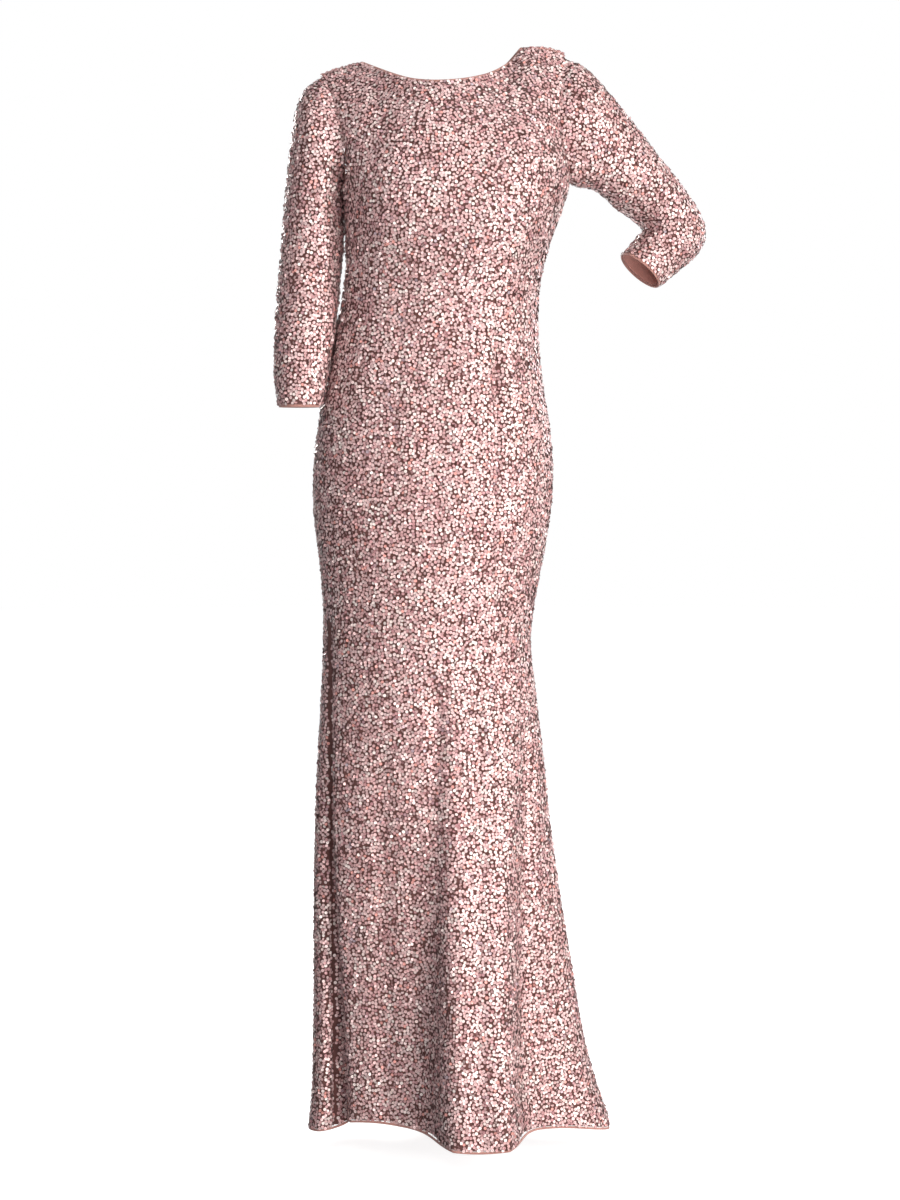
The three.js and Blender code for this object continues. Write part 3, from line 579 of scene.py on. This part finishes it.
@dataclass
class SmallPart:
    """A small mesh that is repeated many times: its points, its triangles and a share for each point."""

    points: Rows
    faces: Rows
    shares: Rows

    @classmethod
    def from_object(cls, source: Object, radius: float) -> SmallPart:
        """Reads the part off a modelled object and removes that object.

        Args:
            source: the object that was modelled at the origin.
            radius: the distance from its middle at which the share is 1.

        Returns:
            The part.
        """
        mesh = source.data
        mesh.calc_loop_triangles()
        points, _ = vertex_numbers(mesh)
        faces = np.array([triangle.vertices[:] for triangle in mesh.loop_triangles])
        shares = np.linalg.norm(points[:, :2], axis=1) / radius
        bpy.data.objects.remove(source)
        bpy.data.meshes.remove(mesh)
        return cls(points, faces, shares)

    def repeat(self, name: str, places: Rows, turns: Rows, sizes: Rows) -> Object:
        """Joins copies of the part into one piece.

        Args:
            name: the new piece's name.
            places: where each copy stands.
            turns: each copy's turn, as a matrix whose columns are its axes.
            sizes: each copy's size, 1 for the size that was modelled.

        Returns:
            The piece, smooth shaded.
        """
        count = len(places)
        corners = len(self.points)
        turned = np.einsum("nij,vj->nvi", turns, self.points) * sizes[:, None, None]
        vertices = (places[:, None, :] + turned).reshape(-1, 3)
        faces = (self.faces[None] + (np.arange(count) * corners)[:, None, None]).reshape(-1, 3)
        mesh = bpy.data.meshes.new(name)
        mesh.vertices.add(len(vertices))
        mesh.vertices.foreach_set("co", vertices.astype(np.float32).ravel())
        mesh.loops.add(faces.size)
        mesh.loops.foreach_set("vertex_index", faces.astype(np.int32).ravel())
        mesh.polygons.add(len(faces))
        mesh.polygons.foreach_set("loop_start", np.arange(len(faces), dtype=np.int32) * 3)
        mesh.update(calc_edges=True)
        mesh.polygons.foreach_set("use_smooth", np.ones(len(faces), bool))
        mesh.validate()
        return new_piece(name, mesh)


@dataclass
class ClothPanel:
    """One cut piece of the gown: a thin shell on its solid's form, with creases pressed in."""

    node: str
    flat: tuple[float, float]
    cut_area: float
    creases: tuple[Crease, ...]
    refinement: int = 2
    seam_width: float = 0.0042
    seam_depth: float = 0.0014
    waviness: float = 0.0009
    wave_length: float = 0.075
    wave_stretch: Place = (1.6, 1.6, 0.7)
    calm_by_seam: float = 0.012
    sheet: Object | None = field(default=None, init=False)
    piece: Object | None = field(default=None, init=False)

    def lay_out(self, source: Object) -> None:
        """Takes the solid's outer face as an open sheet of quads and rounds it off.

        Args:
            source: the solid's own object in the frame, which is left as it is.
        """
        self.sheet = new_piece(f"{self.node}_sheet", source.data.copy())
        self._keep_outer_face()
        log.info("%s: %d faces laid out", self.node, len(self.sheet.data.polygons))
        round_off(self.sheet, self.refinement)

    def _keep_outer_face(self) -> None:
        """Deletes the rims and the inner face of the solid's copy."""
        tolerance = 2e-6
        with opened(self.sheet, merge=1e-5) as mesh:
            rims = {
                face
                for edge in mesh.edges
                if abs(edge.calc_length() - WALL) < tolerance
                for face in edge.link_faces
            }
            groups = self._groups([face for face in mesh.faces if face not in rims], rims)
            keep = set(max(groups[:2], key=lambda group: sum(face.calc_area() for face in group)))
            inner = [face for face in mesh.faces if face not in keep]
            bmesh.ops.delete(mesh, geom=inner, context="FACES")
            bmesh.ops.dissolve_edges(mesh, edges=self._diagonals(mesh), use_verts=False)

    @staticmethod
    def _diagonals(mesh: bmesh.types.BMesh) -> list[bmesh.types.BMEdge]:
        """Finds the edges that halve the grid's quads.

        Going round every triangle, a row's edge, the diagonal and a column's edge follow each other
        in the same order, so one triangle's edges settle all the others. The start is right when no
        edge on the border comes out as a diagonal.

        Args:
            mesh: the outer face, all triangles.

        Returns:
            The diagonals.
        """
        diagonal = 1
        mesh.faces.ensure_lookup_table()
        for start in range(3):
            kinds = {loop.edge: (start + step) % 3 for step, loop in enumerate(mesh.faces[0].loops)}
            seen = {mesh.faces[0]}
            front = [mesh.faces[0]]
            while front:
                for loop in front.pop().loops:
                    for other in loop.edge.link_loops:
                        if other.face in seen:
                            continue
                        seen.add(other.face)
                        front.append(other.face)
                        kind = kinds[loop.edge]
                        following = other.link_loop_next
                        kinds[following.edge] = (kind + 1) % 3
                        kinds[following.link_loop_next.edge] = (kind + 2) % 3
            found = [edge for edge, kind in kinds.items() if kind == diagonal]
            if not any(edge.is_boundary for edge in found):
                return found
        raise ValueError("the outer face isn't a grid of halved quads")

    @staticmethod
    def _groups(
        faces: list[bmesh.types.BMFace], walls: set[bmesh.types.BMFace],
    ) -> list[list[bmesh.types.BMFace]]:
        """Sorts faces into groups that hang together without crossing the rims.

        Args:
            faces: the faces to sort.
            walls: the rim faces, which aren't crossed.

        Returns:
            The groups, the largest first.
        """
        waiting = set(faces)
        groups = []
        while waiting:
            front = [waiting.pop()]
            group = []
            while front:
                face = front.pop()
                group.append(face)
                for edge in face.edges:
                    for other in edge.link_faces:
                        if other in waiting and other not in walls:
                            waiting.remove(other)
                            front.append(other)
            groups.append(group)
        return sorted(groups, key=len, reverse=True)

    def edge_places(self) -> Rows:
        """Gives the points on the open sheet's edges."""
        mesh = bmesh.new()
        mesh.from_mesh(self.sheet.data)
        found = [vertex.co[:] for vertex in mesh.verts if vertex.is_boundary]
        mesh.free()
        return np.array(found)

    def press(self, seams: kdtree.KDTree) -> None:
        """Presses the creases, the seams' troughs and a slight unevenness into the sheet.

        Args:
            seams: the places along the seams where this panel meets others.
        """
        places, normals = vertex_numbers(self.sheet.data)
        depth = sum((crease.press(places, normals) for crease in self.creases), np.zeros(len(places)))
        near = np.array([seams.find(place)[2] for place in places])
        depth += self.seam_depth * np.exp(-((near / self.seam_width) ** 2))
        stretch = Vector(self.wave_stretch) / self.wave_length
        waves = np.array([noise.noise(Vector(place) * stretch) for place in places])
        depth += self.waviness * waves * (1 - np.exp(-((near / self.calm_by_seam) ** 2)))
        set_places(self.sheet.data, places - normals * depth[:, None])

    def thicken(self) -> None:
        """Makes the finished shell from the sheet: tulle outside, lining inside."""
        self.piece = new_piece(f"{self.node}_cloth", self.sheet.data.copy())
        paint(self.piece, TULLE.material(), LINING.material())
        wall = self.piece.modifiers.new("wall", "SOLIDIFY")
        wall.thickness = WALL
        wall.offset = -1
        wall.material_offset = 1
        wall.material_offset_rim = 1
        apply_modifiers(self.piece)
        select_only(self.piece)
        bpy.ops.object.shade_smooth_by_angle(angle=math.radians(50))

    def dress(self, with_pieces: list[Object]) -> None:
        """Hides the solid and hangs the finished shell on the gown in the frame.

        Args:
            with_pieces: the separate pieces that are sewn on this panel; not used.
        """
        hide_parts(self.node)
        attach(self.piece, GOWN)


@dataclass
class SequinWork:
    """The sequins: cupped discs sewn all over the panels, close together and slightly tilted."""

    rim_corners: int = 9
    cup: float = 0.00022
    tilt: float = 16.0
    loose_tilt: float = 27.0
    loose_share: float = 0.35
    most_tilt: float = 50.0
    turn_spread: float = 0.7
    lift: tuple[float, float] = (0.0006, 0.0016)
    sizes: tuple[float, float] = (0.93, 1.07)
    trial_density: float = 420000.0
    tint_shape: tuple[float, float] = (2.6, 2.2)
    patch_length: float = 0.03
    patch_strength: float = 0.16
    coral_share: tuple[float, float] = (0.02, 0.05)
    lightest: float = 0.95
    tiles: int = 24
    tile_share: float = 0.42
    disc: SmallPart = field(init=False)

    def __post_init__(self) -> None:
        """Models the one sequin that all are copies of."""
        self.disc = self._model_disc()

    def _model_disc(self) -> SmallPart:
        """Models a cupped disc: a fan of triangles whose middle is pushed down."""
        bpy.ops.object.select_all(action="DESELECT")
        bpy.ops.mesh.primitive_circle_add(
            vertices=self.rim_corners, radius=SEQUIN_RADIUS, fill_type="TRIFAN", location=(0, 0, 0))
        disc = bpy.context.object
        for vertex in disc.data.vertices:
            vertex.select = vertex.co.length < SEQUIN_RADIUS / 2
        for edge in disc.data.edges:
            edge.select = False
        for face in disc.data.polygons:
            face.select = False
        bpy.context.tool_settings.mesh_select_mode = (True, False, False)
        bpy.ops.object.mode_set(mode="EDIT")
        bpy.ops.transform.translate(value=(0, 0, -self.cup))
        bpy.ops.object.mode_set(mode="OBJECT")
        return SmallPart.from_object(disc, SEQUIN_RADIUS)

    def _spread_points(self, sheet: Object, seed: int) -> tuple[Rows, Rows]:
        """Spreads points over a sheet, none closer together than the sequins' spacing.

        Args:
            sheet: the open sheet, which is used up.
            seed: the seed of the spread.

        Returns:
            The points and the sheet's outward directions there.
        """
        group = bpy.data.node_groups.new("spread_points", "GeometryNodeTree")
        bench = NodeBench(group)
        given = bench.open_sockets("Input", {"Sheet": "Geometry"})
        result = bench.open_sockets("Output", {"Points": "Geometry"})
        spread = bench.add("GeometryNodeDistributePointsOnFaces", distribute_method="POISSON")
        fill(spread, {"Distance Min": SEQUIN_SPACING, "Density Max": self.trial_density, "Seed": seed})
        keep = bench.add("GeometryNodeStoreNamedAttribute", data_type="FLOAT_VECTOR", domain="POINT")
        fill(keep, {"Name": "outward"})
        points = bench.add("GeometryNodePointsToVertices")
        bench.join(given, "Sheet", spread, "Mesh")
        bench.join(spread, "Points", keep, "Geometry")
        bench.join(spread, "Normal", keep, "Value")
        bench.join(keep, "Geometry", points, "Points")
        bench.join(points, "Mesh", result, "Points")
        modifier = sheet.modifiers.new("spread", "NODES")
        modifier.node_group = group
        apply_modifiers(sheet)
        places = read_rows(sheet.data.vertices, "co")
        outward = read_rows(sheet.data.attributes["outward"].data, "vector")
        bpy.data.objects.remove(sheet)
        bpy.data.node_groups.remove(group)
        return places, outward

    def _turns(self, outward: Rows, chance: np.random.Generator) -> Rows:
        """Tilts each sequin a little at random off the cloth.

        Args:
            outward: the cloth's outward direction at each sequin.
            chance: the source of the tilts.

        Returns:
            A turn for each sequin, as a matrix whose columns are its axes.
        """
        count = len(outward)
        side = np.cross(outward, chance.normal(size=(count, 3)))
        side /= np.linalg.norm(side, axis=1, keepdims=True)
        spread = np.where(chance.random(count) < self.loose_share, self.loose_tilt, self.tilt)
        tilt = np.clip(np.abs(chance.normal(0, spread)), 0, self.most_tilt)
        angle = np.radians(tilt)[:, None]
        facing = outward * np.cos(angle) + side * np.sin(angle)
        across = np.cross(facing, outward + chance.normal(0, self.turn_spread, (count, 3)))
        across /= np.linalg.norm(across, axis=1, keepdims=True)
        return np.stack([across, np.cross(facing, across), facing], axis=2)

    def sew(self, name: str, panel: ClothPanel, lowest: float, highest: float, seed: int) -> Object:
        """Sews sequins on the part of a panel that lies between two heights.

        Args:
            name: the new piece's name.
            panel: the panel that carries them.
            lowest: the height at which they start.
            highest: the height at which they end.
            seed: the seed of their spread and tilts.

        Returns:
            The sequins as one piece.
        """
        chance = np.random.default_rng(seed)
        sheet = new_piece(f"{name}_ground", panel.sheet.data.copy())
        with opened(sheet) as mesh:
            outside = [
                face for face in mesh.faces if not lowest <= face.calc_center_median().z < highest]
            bmesh.ops.delete(mesh, geom=outside, context="FACES")
        places, outward = self._spread_points(sheet, seed)
        for crease in panel.creases:
            showing = ~crease.hides(places, outward)
            places, outward = places[showing], outward[showing]
        count = len(places)
        lift = chance.uniform(*self.lift, count)[:, None]
        sizes = chance.uniform(*self.sizes, count)
        piece = self.disc.repeat(name, places + outward * lift, self._turns(outward, chance), sizes)
        self._colour(piece, places, chance)
        paint(piece, SequinFinish().material())
        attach(piece, GOWN)
        log.info("%s: %d sequins, %d faces", name, count, len(piece.data.polygons))
        return piece

    def _colour(self, piece: Object, places: Rows, chance: np.random.Generator) -> None:
        """Stores each sequin's tint, each point's share of the radius, and a map by tint.

        Args:
            piece: the joined sequins.
            places: where each sequin stands.
            chance: the source of the tints.
        """
        corners = len(self.disc.points)
        patches = np.array([noise.noise(Vector(place) / self.patch_length) for place in places])
        drawn = chance.beta(*self.tint_shape, len(places))
        tints = np.clip(drawn + self.patch_strength * patches, 0, self.lightest)
        least, more = self.coral_share
        coral = chance.random(len(places)) < least + more * np.clip(patches, 0, 1)
        tints = np.where(coral, 1.0, tints)
        mesh = piece.data
        tint = mesh.attributes.new("tint", "FLOAT", "POINT")
        tint.data.foreach_set("value", np.repeat(tints, corners).astype(np.float32))
        # The share of the radius, which the material turns into painted shade at each sequin's hole and
        # rim.
        reach = mesh.attributes.new("from_centre", "FLOAT", "POINT")
        shares = np.tile(self.disc.shares, len(places))
        reach.data.foreach_set("value", shares.astype(np.float32))
        tile = np.minimum((tints * self.tiles**2).astype(int), self.tiles**2 - 1)
        corner = np.stack([tile % self.tiles, tile // self.tiles], axis=1)
        local = 0.5 + self.tile_share * self.disc.points[:, :2] / SEQUIN_RADIUS
        spots = ((corner[:, None, :] + local[None]) / self.tiles).reshape(-1, 2)
        loops = np.empty(len(mesh.loops), np.int32)
        mesh.loops.foreach_get("vertex_index", loops)
        layer = mesh.uv_layers.new(name="OFBake")
        layer.data.foreach_set("uv", spots[loops].astype(np.float32).ravel())


@dataclass
class TurnedEdge:
    """A narrow turned edge of plain cloth that ends the panels, rounded over."""

    node: str
    crease: float = 0.55

    def build(self, source: Object) -> Object:
        """Rounds off a copy of the solid.

        Args:
            source: the solid's own object in the frame, which is left as it is.

        Returns:
            The finished edge.
        """
        piece = new_piece(f"{self.node}_binding", source.data.copy())
        flat_limit = math.radians(20)
        sharp = math.radians(50)
        with opened(piece, merge=1e-5) as mesh:
            bmesh.ops.join_triangles(
                mesh, faces=mesh.faces[:], angle_face_threshold=flat_limit, angle_shape_threshold=math.pi)
            creases = mesh.edges.layers.float.new("crease_edge")
            for edge in mesh.edges:
                if edge.is_manifold and edge.calc_face_angle() > sharp:
                    edge[creases] = self.crease
        round_off(piece, 2, border="ALL")
        select_only(piece)
        bpy.ops.object.shade_smooth()
        paint(piece, EDGE.material())
        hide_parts(self.node)
        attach(piece, GOWN)
        log.info("%s: %d faces", piece.name, len(piece.data.polygons))
        return piece


@dataclass
class ConcealedZip:
    """The zip in the middle back seam: woven tape, coil, slider and pull."""

    pitch: float = 0.0013
    coil_width: float = 0.0042
    coil_height: float = 0.0011
    behind_cloth: float = 0.0039
    bar_share: float = 0.72
    rounded_share: float = 0.3
    inset: float = 0.004
    rounding: float = 0.00018

    def dress(self, nodes: dict[str, Object], seam: Rows) -> Object:
        """Finishes the tape and the metal, and lays the coil along the tape.

        Args:
            nodes: the frame's own objects.
            seam: the middle back seam's places and outward directions, from the top down.

        Returns:
            The coil.
        """
        tape = nodes["zip_tape"]
        paint(tape, TAPE.material())
        self._round_metal(nodes["zip_slider"], "zip_slider_body", GOWN)
        self._round_metal(nodes["zip_pull"], "zip_pull_tab", PULL)
        return self._lay_coil(tape, seam)

    def _round_metal(self, source: Object, name: str, body: str) -> None:
        """Copies a metal part and rounds its edges over.

        Args:
            source: the solid's own object in the frame.
            name: the new piece's name.
            body: the body that it rides on.
        """
        piece = new_piece(name, source.data.copy())
        with opened(piece, merge=1e-6) as mesh:
            bmesh.ops.dissolve_limit(
                mesh, angle_limit=math.radians(1), verts=mesh.verts[:], edges=mesh.edges[:])
        rounding = piece.modifiers.new("rounding", "BEVEL")
        rounding.width = self.rounding
        rounding.segments = 3
        rounding.limit_method = "ANGLE"
        rounding.angle_limit = math.radians(35)
        apply_modifiers(piece)
        select_only(piece)
        bpy.ops.object.shade_smooth_by_angle(angle=math.radians(40))
        paint(piece, EnamelFinish().material())
        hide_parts(source.name)
        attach(piece, body)

    def _model_tooth(self) -> SmallPart:
        """Models one turn of the coil as a small bar with rounded ends."""
        bpy.ops.object.select_all(action="DESELECT")
        bpy.ops.mesh.primitive_cube_add(size=1, location=(0, 0, 0))
        tooth = bpy.context.object
        tooth.scale = (self.coil_width, self.pitch * self.bar_share, self.coil_height)
        bpy.ops.object.transform_apply(location=False, rotation=False, scale=True)
        bpy.ops.object.mode_set(mode="EDIT")
        bpy.ops.mesh.select_all(action="SELECT")
        bpy.ops.mesh.bevel(
            offset=self.coil_height * self.rounded_share, segments=1, affect="EDGES")
        bpy.ops.object.mode_set(mode="OBJECT")
        return SmallPart.from_object(tooth, self.coil_width / 2)

    def _lay_coil(self, tape: Object, seam: Rows) -> Object:
        """Lays the coil's turns along the seam, on the inner face of the tape.

        Args:
            tape: the tape's own object in the frame, which says how far the coil runs.
            seam: the middle back seam's places and outward directions, from the top down.

        Returns:
            The coil as one piece.
        """
        lowest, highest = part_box(tape.name)
        inside = (seam[:, 2] > lowest.z + self.inset) & (seam[:, 2] < highest.z - self.inset)
        run = seam[inside]
        lengths = np.concatenate([[0], np.cumsum(np.linalg.norm(np.diff(run[:, :3], axis=0), axis=1))])
        stops = np.arange(0, lengths[-1], self.pitch)
        spots = np.stack([np.interp(stops, lengths, run[:, axis]) for axis in range(6)], axis=1)
        places, outward = spots[:, :3], spots[:, 3:]
        outward /= np.linalg.norm(outward, axis=1, keepdims=True)
        upwards = np.gradient(places, axis=0)
        upwards /= np.linalg.norm(upwards, axis=1, keepdims=True)
        across = np.cross(upwards, outward)
        across /= np.linalg.norm(across, axis=1, keepdims=True)
        turns = np.stack([across, upwards, np.cross(across, upwards)], axis=2)
        piece = self._model_tooth().repeat(
            "zip_coil", places - outward * self.behind_cloth, turns, np.ones(len(places)))
        paint(piece, TAPE.material())
        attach(piece, GOWN)
        log.info("zip_coil: %d turns", len(places))
        return piece


@dataclass
class Gown:
    """The whole gown, built panel by panel."""

    nodes: dict[str, Object]
    split_level: float = -0.80
    panels: dict[str, ClothPanel] = field(init=False)

    def __post_init__(self) -> None:
        """Lists the panels with their flat sizes and creases."""
        self.panels = {panel.node: panel for panel in (
            ClothPanel("front", (0.62, 1.56), 0.666, FRONT_CREASES + BODY_BESIDE_ARM),
            ClothPanel("back_left", (0.35, 1.57), 0.349, BACK_CREASES),
            ClothPanel("back_right", (0.34, 1.56), 0.343, BACK_CREASES + BODY_BESIDE_ARM),
            ClothPanel("sleeve_left", (0.36, 0.43), 0.090, LEFT_SLEEVE_CREASES),
            ClothPanel("sleeve_right", (0.36, 0.48), 0.111, RIGHT_SLEEVE_CREASES + ARM_BESIDE_BODY),
        )}

    def build(self) -> None:
        """Builds the cloth, the sequins, the turned edges and the zip, and sets them in the frame."""
        for panel in self.panels.values():
            panel.lay_out(self.nodes[panel.node])
        edges = {name: panel.edge_places() for name, panel in self.panels.items()}
        seam = self._middle_back_seam(edges)
        for name, panel in self.panels.items():
            panel.press(self._seams_of(name, edges))
            panel.thicken()
            log.info("%s: %d faces", name, len(panel.piece.data.polygons))
        sequins = self._sew_sequins()
        bindings = {
            node: TurnedEdge(node).build(self.nodes[node])
            for node in ("neck_edge", "cuff_edge_left", "cuff_edge_right", "hem_edge")
        }
        coil = ConcealedZip().dress(self.nodes, seam)
        sewn_on = {
            "front": [*sequins["front"], bindings["neck_edge"], bindings["hem_edge"]],
            "back_left": [*sequins["back_left"], coil],
            "back_right": sequins["back_right"],
            "sleeve_left": [*sequins["sleeve_left"], bindings["cuff_edge_left"]],
            "sleeve_right": [*sequins["sleeve_right"], bindings["cuff_edge_right"]],
        }
        for name, panel in self.panels.items():
            panel.dress(sewn_on[name])
            bpy.data.objects.remove(panel.sheet)

    def _seams_of(self, name: str, edges: dict[str, Rows]) -> kdtree.KDTree:
        """Finds where a panel's edges meet those of the other panels.

        Args:
            name: the panel.
            edges: the places on each panel's edges.

        Returns:
            A search tree of the places where they meet.
        """
        others = np.concatenate([places for other, places in edges.items() if other != name])
        tree = search_tree(others)
        return search_tree([place for place in edges[name] if tree.find(place)[2] < SEAM_GAP])

    def _middle_back_seam(self, edges: dict[str, Rows]) -> Rows:
        """Follows the middle back seam from the neck down.

        Args:
            edges: the places on each panel's edges.

        Returns:
            Places and outward directions, one a row.
        """
        behind, below_neck = 0.03, -0.05
        tree = search_tree(edges["back_right"])
        places, normals = vertex_numbers(self.panels["back_left"].sheet.data)
        on_seam = [
            index for index, place in enumerate(places)
            if place[1] > behind and place[2] < below_neck and tree.find(place)[2] < SEAM_GAP
        ]
        found = np.concatenate([places[on_seam], normals[on_seam]], axis=1)
        return found[np.argsort(-found[:, 2])]

    def _sew_sequins(self) -> dict[str, list[Object]]:
        """Sews the sequins on all the panels, the front's in two pieces."""
        work = SequinWork()
        top = 1.0
        bottom = -2.0
        sewn = {"front": [
            work.sew("front_sequins_upper", self.panels["front"], self.split_level, top, 11),
            work.sew("front_sequins_lower", self.panels["front"], bottom, self.split_level, 12),
        ]}
        names = ("back_left", "back_right", "sleeve_left", "sleeve_right")
        for seed, name in enumerate(names, start=21):
            sewn[name] = [work.sew(f"{name}_sequins", self.panels[name], bottom, top, seed)]
        return sewn


def face_towards(thing: Object, place: Place, aim: Place) -> None:
    """Puts a camera or a light in its place and links it to the scene.

    Args:
        thing: the camera or light.
        place: where it stands.
        aim: the place that it faces.
    """
    thing.location = place
    thing.rotation_euler = (Vector(aim) - Vector(place)).to_track_quat("-Z", "Y").to_euler()
    bpy.context.scene.collection.objects.link(thing)


@dataclass
class Studio:
    """Plain pale floor and surround, soft lights and the camera at the photograph's angle.

    The surround closes the room on all sides, so that the gown can be looked at from anywhere. The
    floor and the surround are seen by the camera, but don't light the gown.
    """

    eye: Place = (0.0099, -3.7, -0.6)
    aim: Place = (0.0099, 0.0, -0.7697)
    lens: float = 104.2
    floor_level: float = -1.56
    radius: float = 16.0

    def build(self) -> None:
        """Sets up the floor, the surround, the lights, the world and the camera."""
        self._camera()
        self._floor()
        self._surround()
        self._lights()
        self._world()

    def _camera(self) -> None:
        """Places the camera and makes it the scene's own."""
        data = bpy.data.cameras.new("view")
        data.sensor_fit = "HORIZONTAL"
        data.sensor_width = 36.0
        data.lens = self.lens
        camera = bpy.data.objects.new("view", data)
        face_towards(camera, self.eye, self.aim)
        bpy.context.scene.camera = camera

    def _floor(self) -> None:
        """Models the round floor, which can be looked through from below."""
        bpy.ops.object.select_all(action="DESELECT")
        bpy.ops.mesh.primitive_circle_add(
            vertices=96, radius=self.radius, fill_type="NGON", location=(0, 0, self.floor_level))
        bpy.ops.object.transform_apply(location=True, rotation=False, scale=False)
        floor = bpy.context.object
        floor.name = "studio_floor"
        material = self._paper("studio_floor_paper", reflected=0.5, glow=0.87)
        nodes = material.node_tree.nodes
        shader = nodes["Principled BSDF"]
        bench = NodeBench(material.node_tree)
        side = bench.add("ShaderNodeNewGeometry")
        clear = bench.add("ShaderNodeBsdfTransparent")
        choice = bench.add("ShaderNodeMixShader")
        bench.join(side, "Backfacing", choice, "Fac")
        bench.join(shader, "BSDF", choice, 1)
        bench.join(clear, "BSDF", choice, 2)
        bench.join(choice, "Shader", nodes["Material Output"], "Surface")
        self._set_stage(floor, material)

    def _surround(self) -> None:
        """Models the white surround, a large ball around the floor."""
        bpy.ops.object.select_all(action="DESELECT")
        bpy.ops.mesh.primitive_uv_sphere_add(
            segments=64, ring_count=32, radius=self.radius, location=(0, 0, self.floor_level))
        bpy.ops.object.transform_apply(location=True, rotation=False, scale=False)
        surround = bpy.context.object
        surround.name = "studio_surround"
        self._set_stage(surround, self._paper("studio_surround_paper", reflected=0.0, glow=1.0))

    @staticmethod
    def _paper(name: str, reflected: float, glow: float) -> Material:
        """Makes a matt white that glows evenly.

        Args:
            name: the material's name.
            reflected: how much light it throws back, from 0 to 1.
            glow: how bright it is by itself, 1 for white.

        Returns:
            The material.
        """
        material = bpy.data.materials.new(name)
        material.use_nodes = True
        shader = material.node_tree.nodes["Principled BSDF"]
        fill(shader, {
            "Base Color": (reflected, reflected, reflected, 1),
            "Roughness": 1.0,
            "Specular IOR Level": 0.0,
            "Emission Color": (1, 1, 1, 1),
            "Emission Strength": glow,
        })
        return material

    @staticmethod
    def _set_stage(piece: Object, material: Material) -> None:
        """Gives a piece its material and makes it seen by the camera only."""
        piece.data.materials.append(material)
        for ray in ("diffuse", "glossy", "transmission", "volume_scatter", "shadow"):
            setattr(piece, f"visible_{ray}", False)

    def _light(
        self, name: str, place: Place, aim: Place, size: float, power: float, colour: Colour,
        spread: float = 180,
    ) -> None:
        """Adds a square area light.

        Args:
            name: the light's name.
            place: where it stands.
            aim: the place that it faces.
            size: the length of its side.
            power: its power in watts.
            colour: its colour.
            spread: the angle over which it shines, in degrees.
        """
        data = bpy.data.lights.new(name, "AREA")
        data.spread = math.radians(spread)
        data.size = size
        data.energy = power
        data.color = colour
        light = bpy.data.objects.new(name, data)
        light.visible_camera = False
        face_towards(light, place, aim)

    def _lights(self) -> None:
        """Adds the key light from image right, weaker ones round it, and two for the back."""
        gown_middle = (0.0, 0.0, -0.8)
        chest = (0.0, 0.0, -0.2)
        hem = (0.03, 0.0, -1.3)
        self._light("key", (2.6, -2.3, 0.1), gown_middle, 1.8, 126, (1.0, 0.97, 0.93))
        self._light("chest_light", (-0.7, -2.6, 1.1), chest, 1.2, 4, (1.0, 0.98, 0.96), spread=60)
        self._light("fill", (-2.4, -2.4, 0.1), gown_middle, 1.2, 5, (0.93, 0.95, 1.0))
        self._light("floor_bounce", (0.8, -1.9, -1.45), hem, 1.0, 27, (1.0, 0.97, 0.95))
        self._light("back_bounce", (-0.4, 1.9, -1.45), hem, 1.2, 10, (1.0, 0.97, 0.95))
        self._light("top", (0.6, -0.8, 2.4), gown_middle, 0.9, 15, (1.0, 0.98, 0.96))
        self._light("back_key", (-1.2, 3.3, 0.5), gown_middle, 1.2, 110, (1.0, 0.97, 0.95))
        self._light("back_fill", (2.4, 2.2, 0.2), gown_middle, 1.4, 34, (0.96, 0.97, 1.0))

    def _world(self) -> None:
        """Fills the room with an even pale light."""
        world = bpy.data.worlds.new("room")
        world.use_nodes = True
        sky = world.node_tree.nodes["Background"]
        fill(sky, {"Color": (0.96, 0.97, 1.0, 1), "Strength": 0.30})
        bpy.context.scene.world = world
        bpy.context.scene.view_settings.view_transform = "Standard"


def main() -> None:
    """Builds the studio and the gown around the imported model."""
    logging.basicConfig(level=logging.INFO, format="%(message)s")
    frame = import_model()
    Gown(nodes=frame["nodes"]).build()
    Studio().build()


if __name__ == "__main__":
    main()
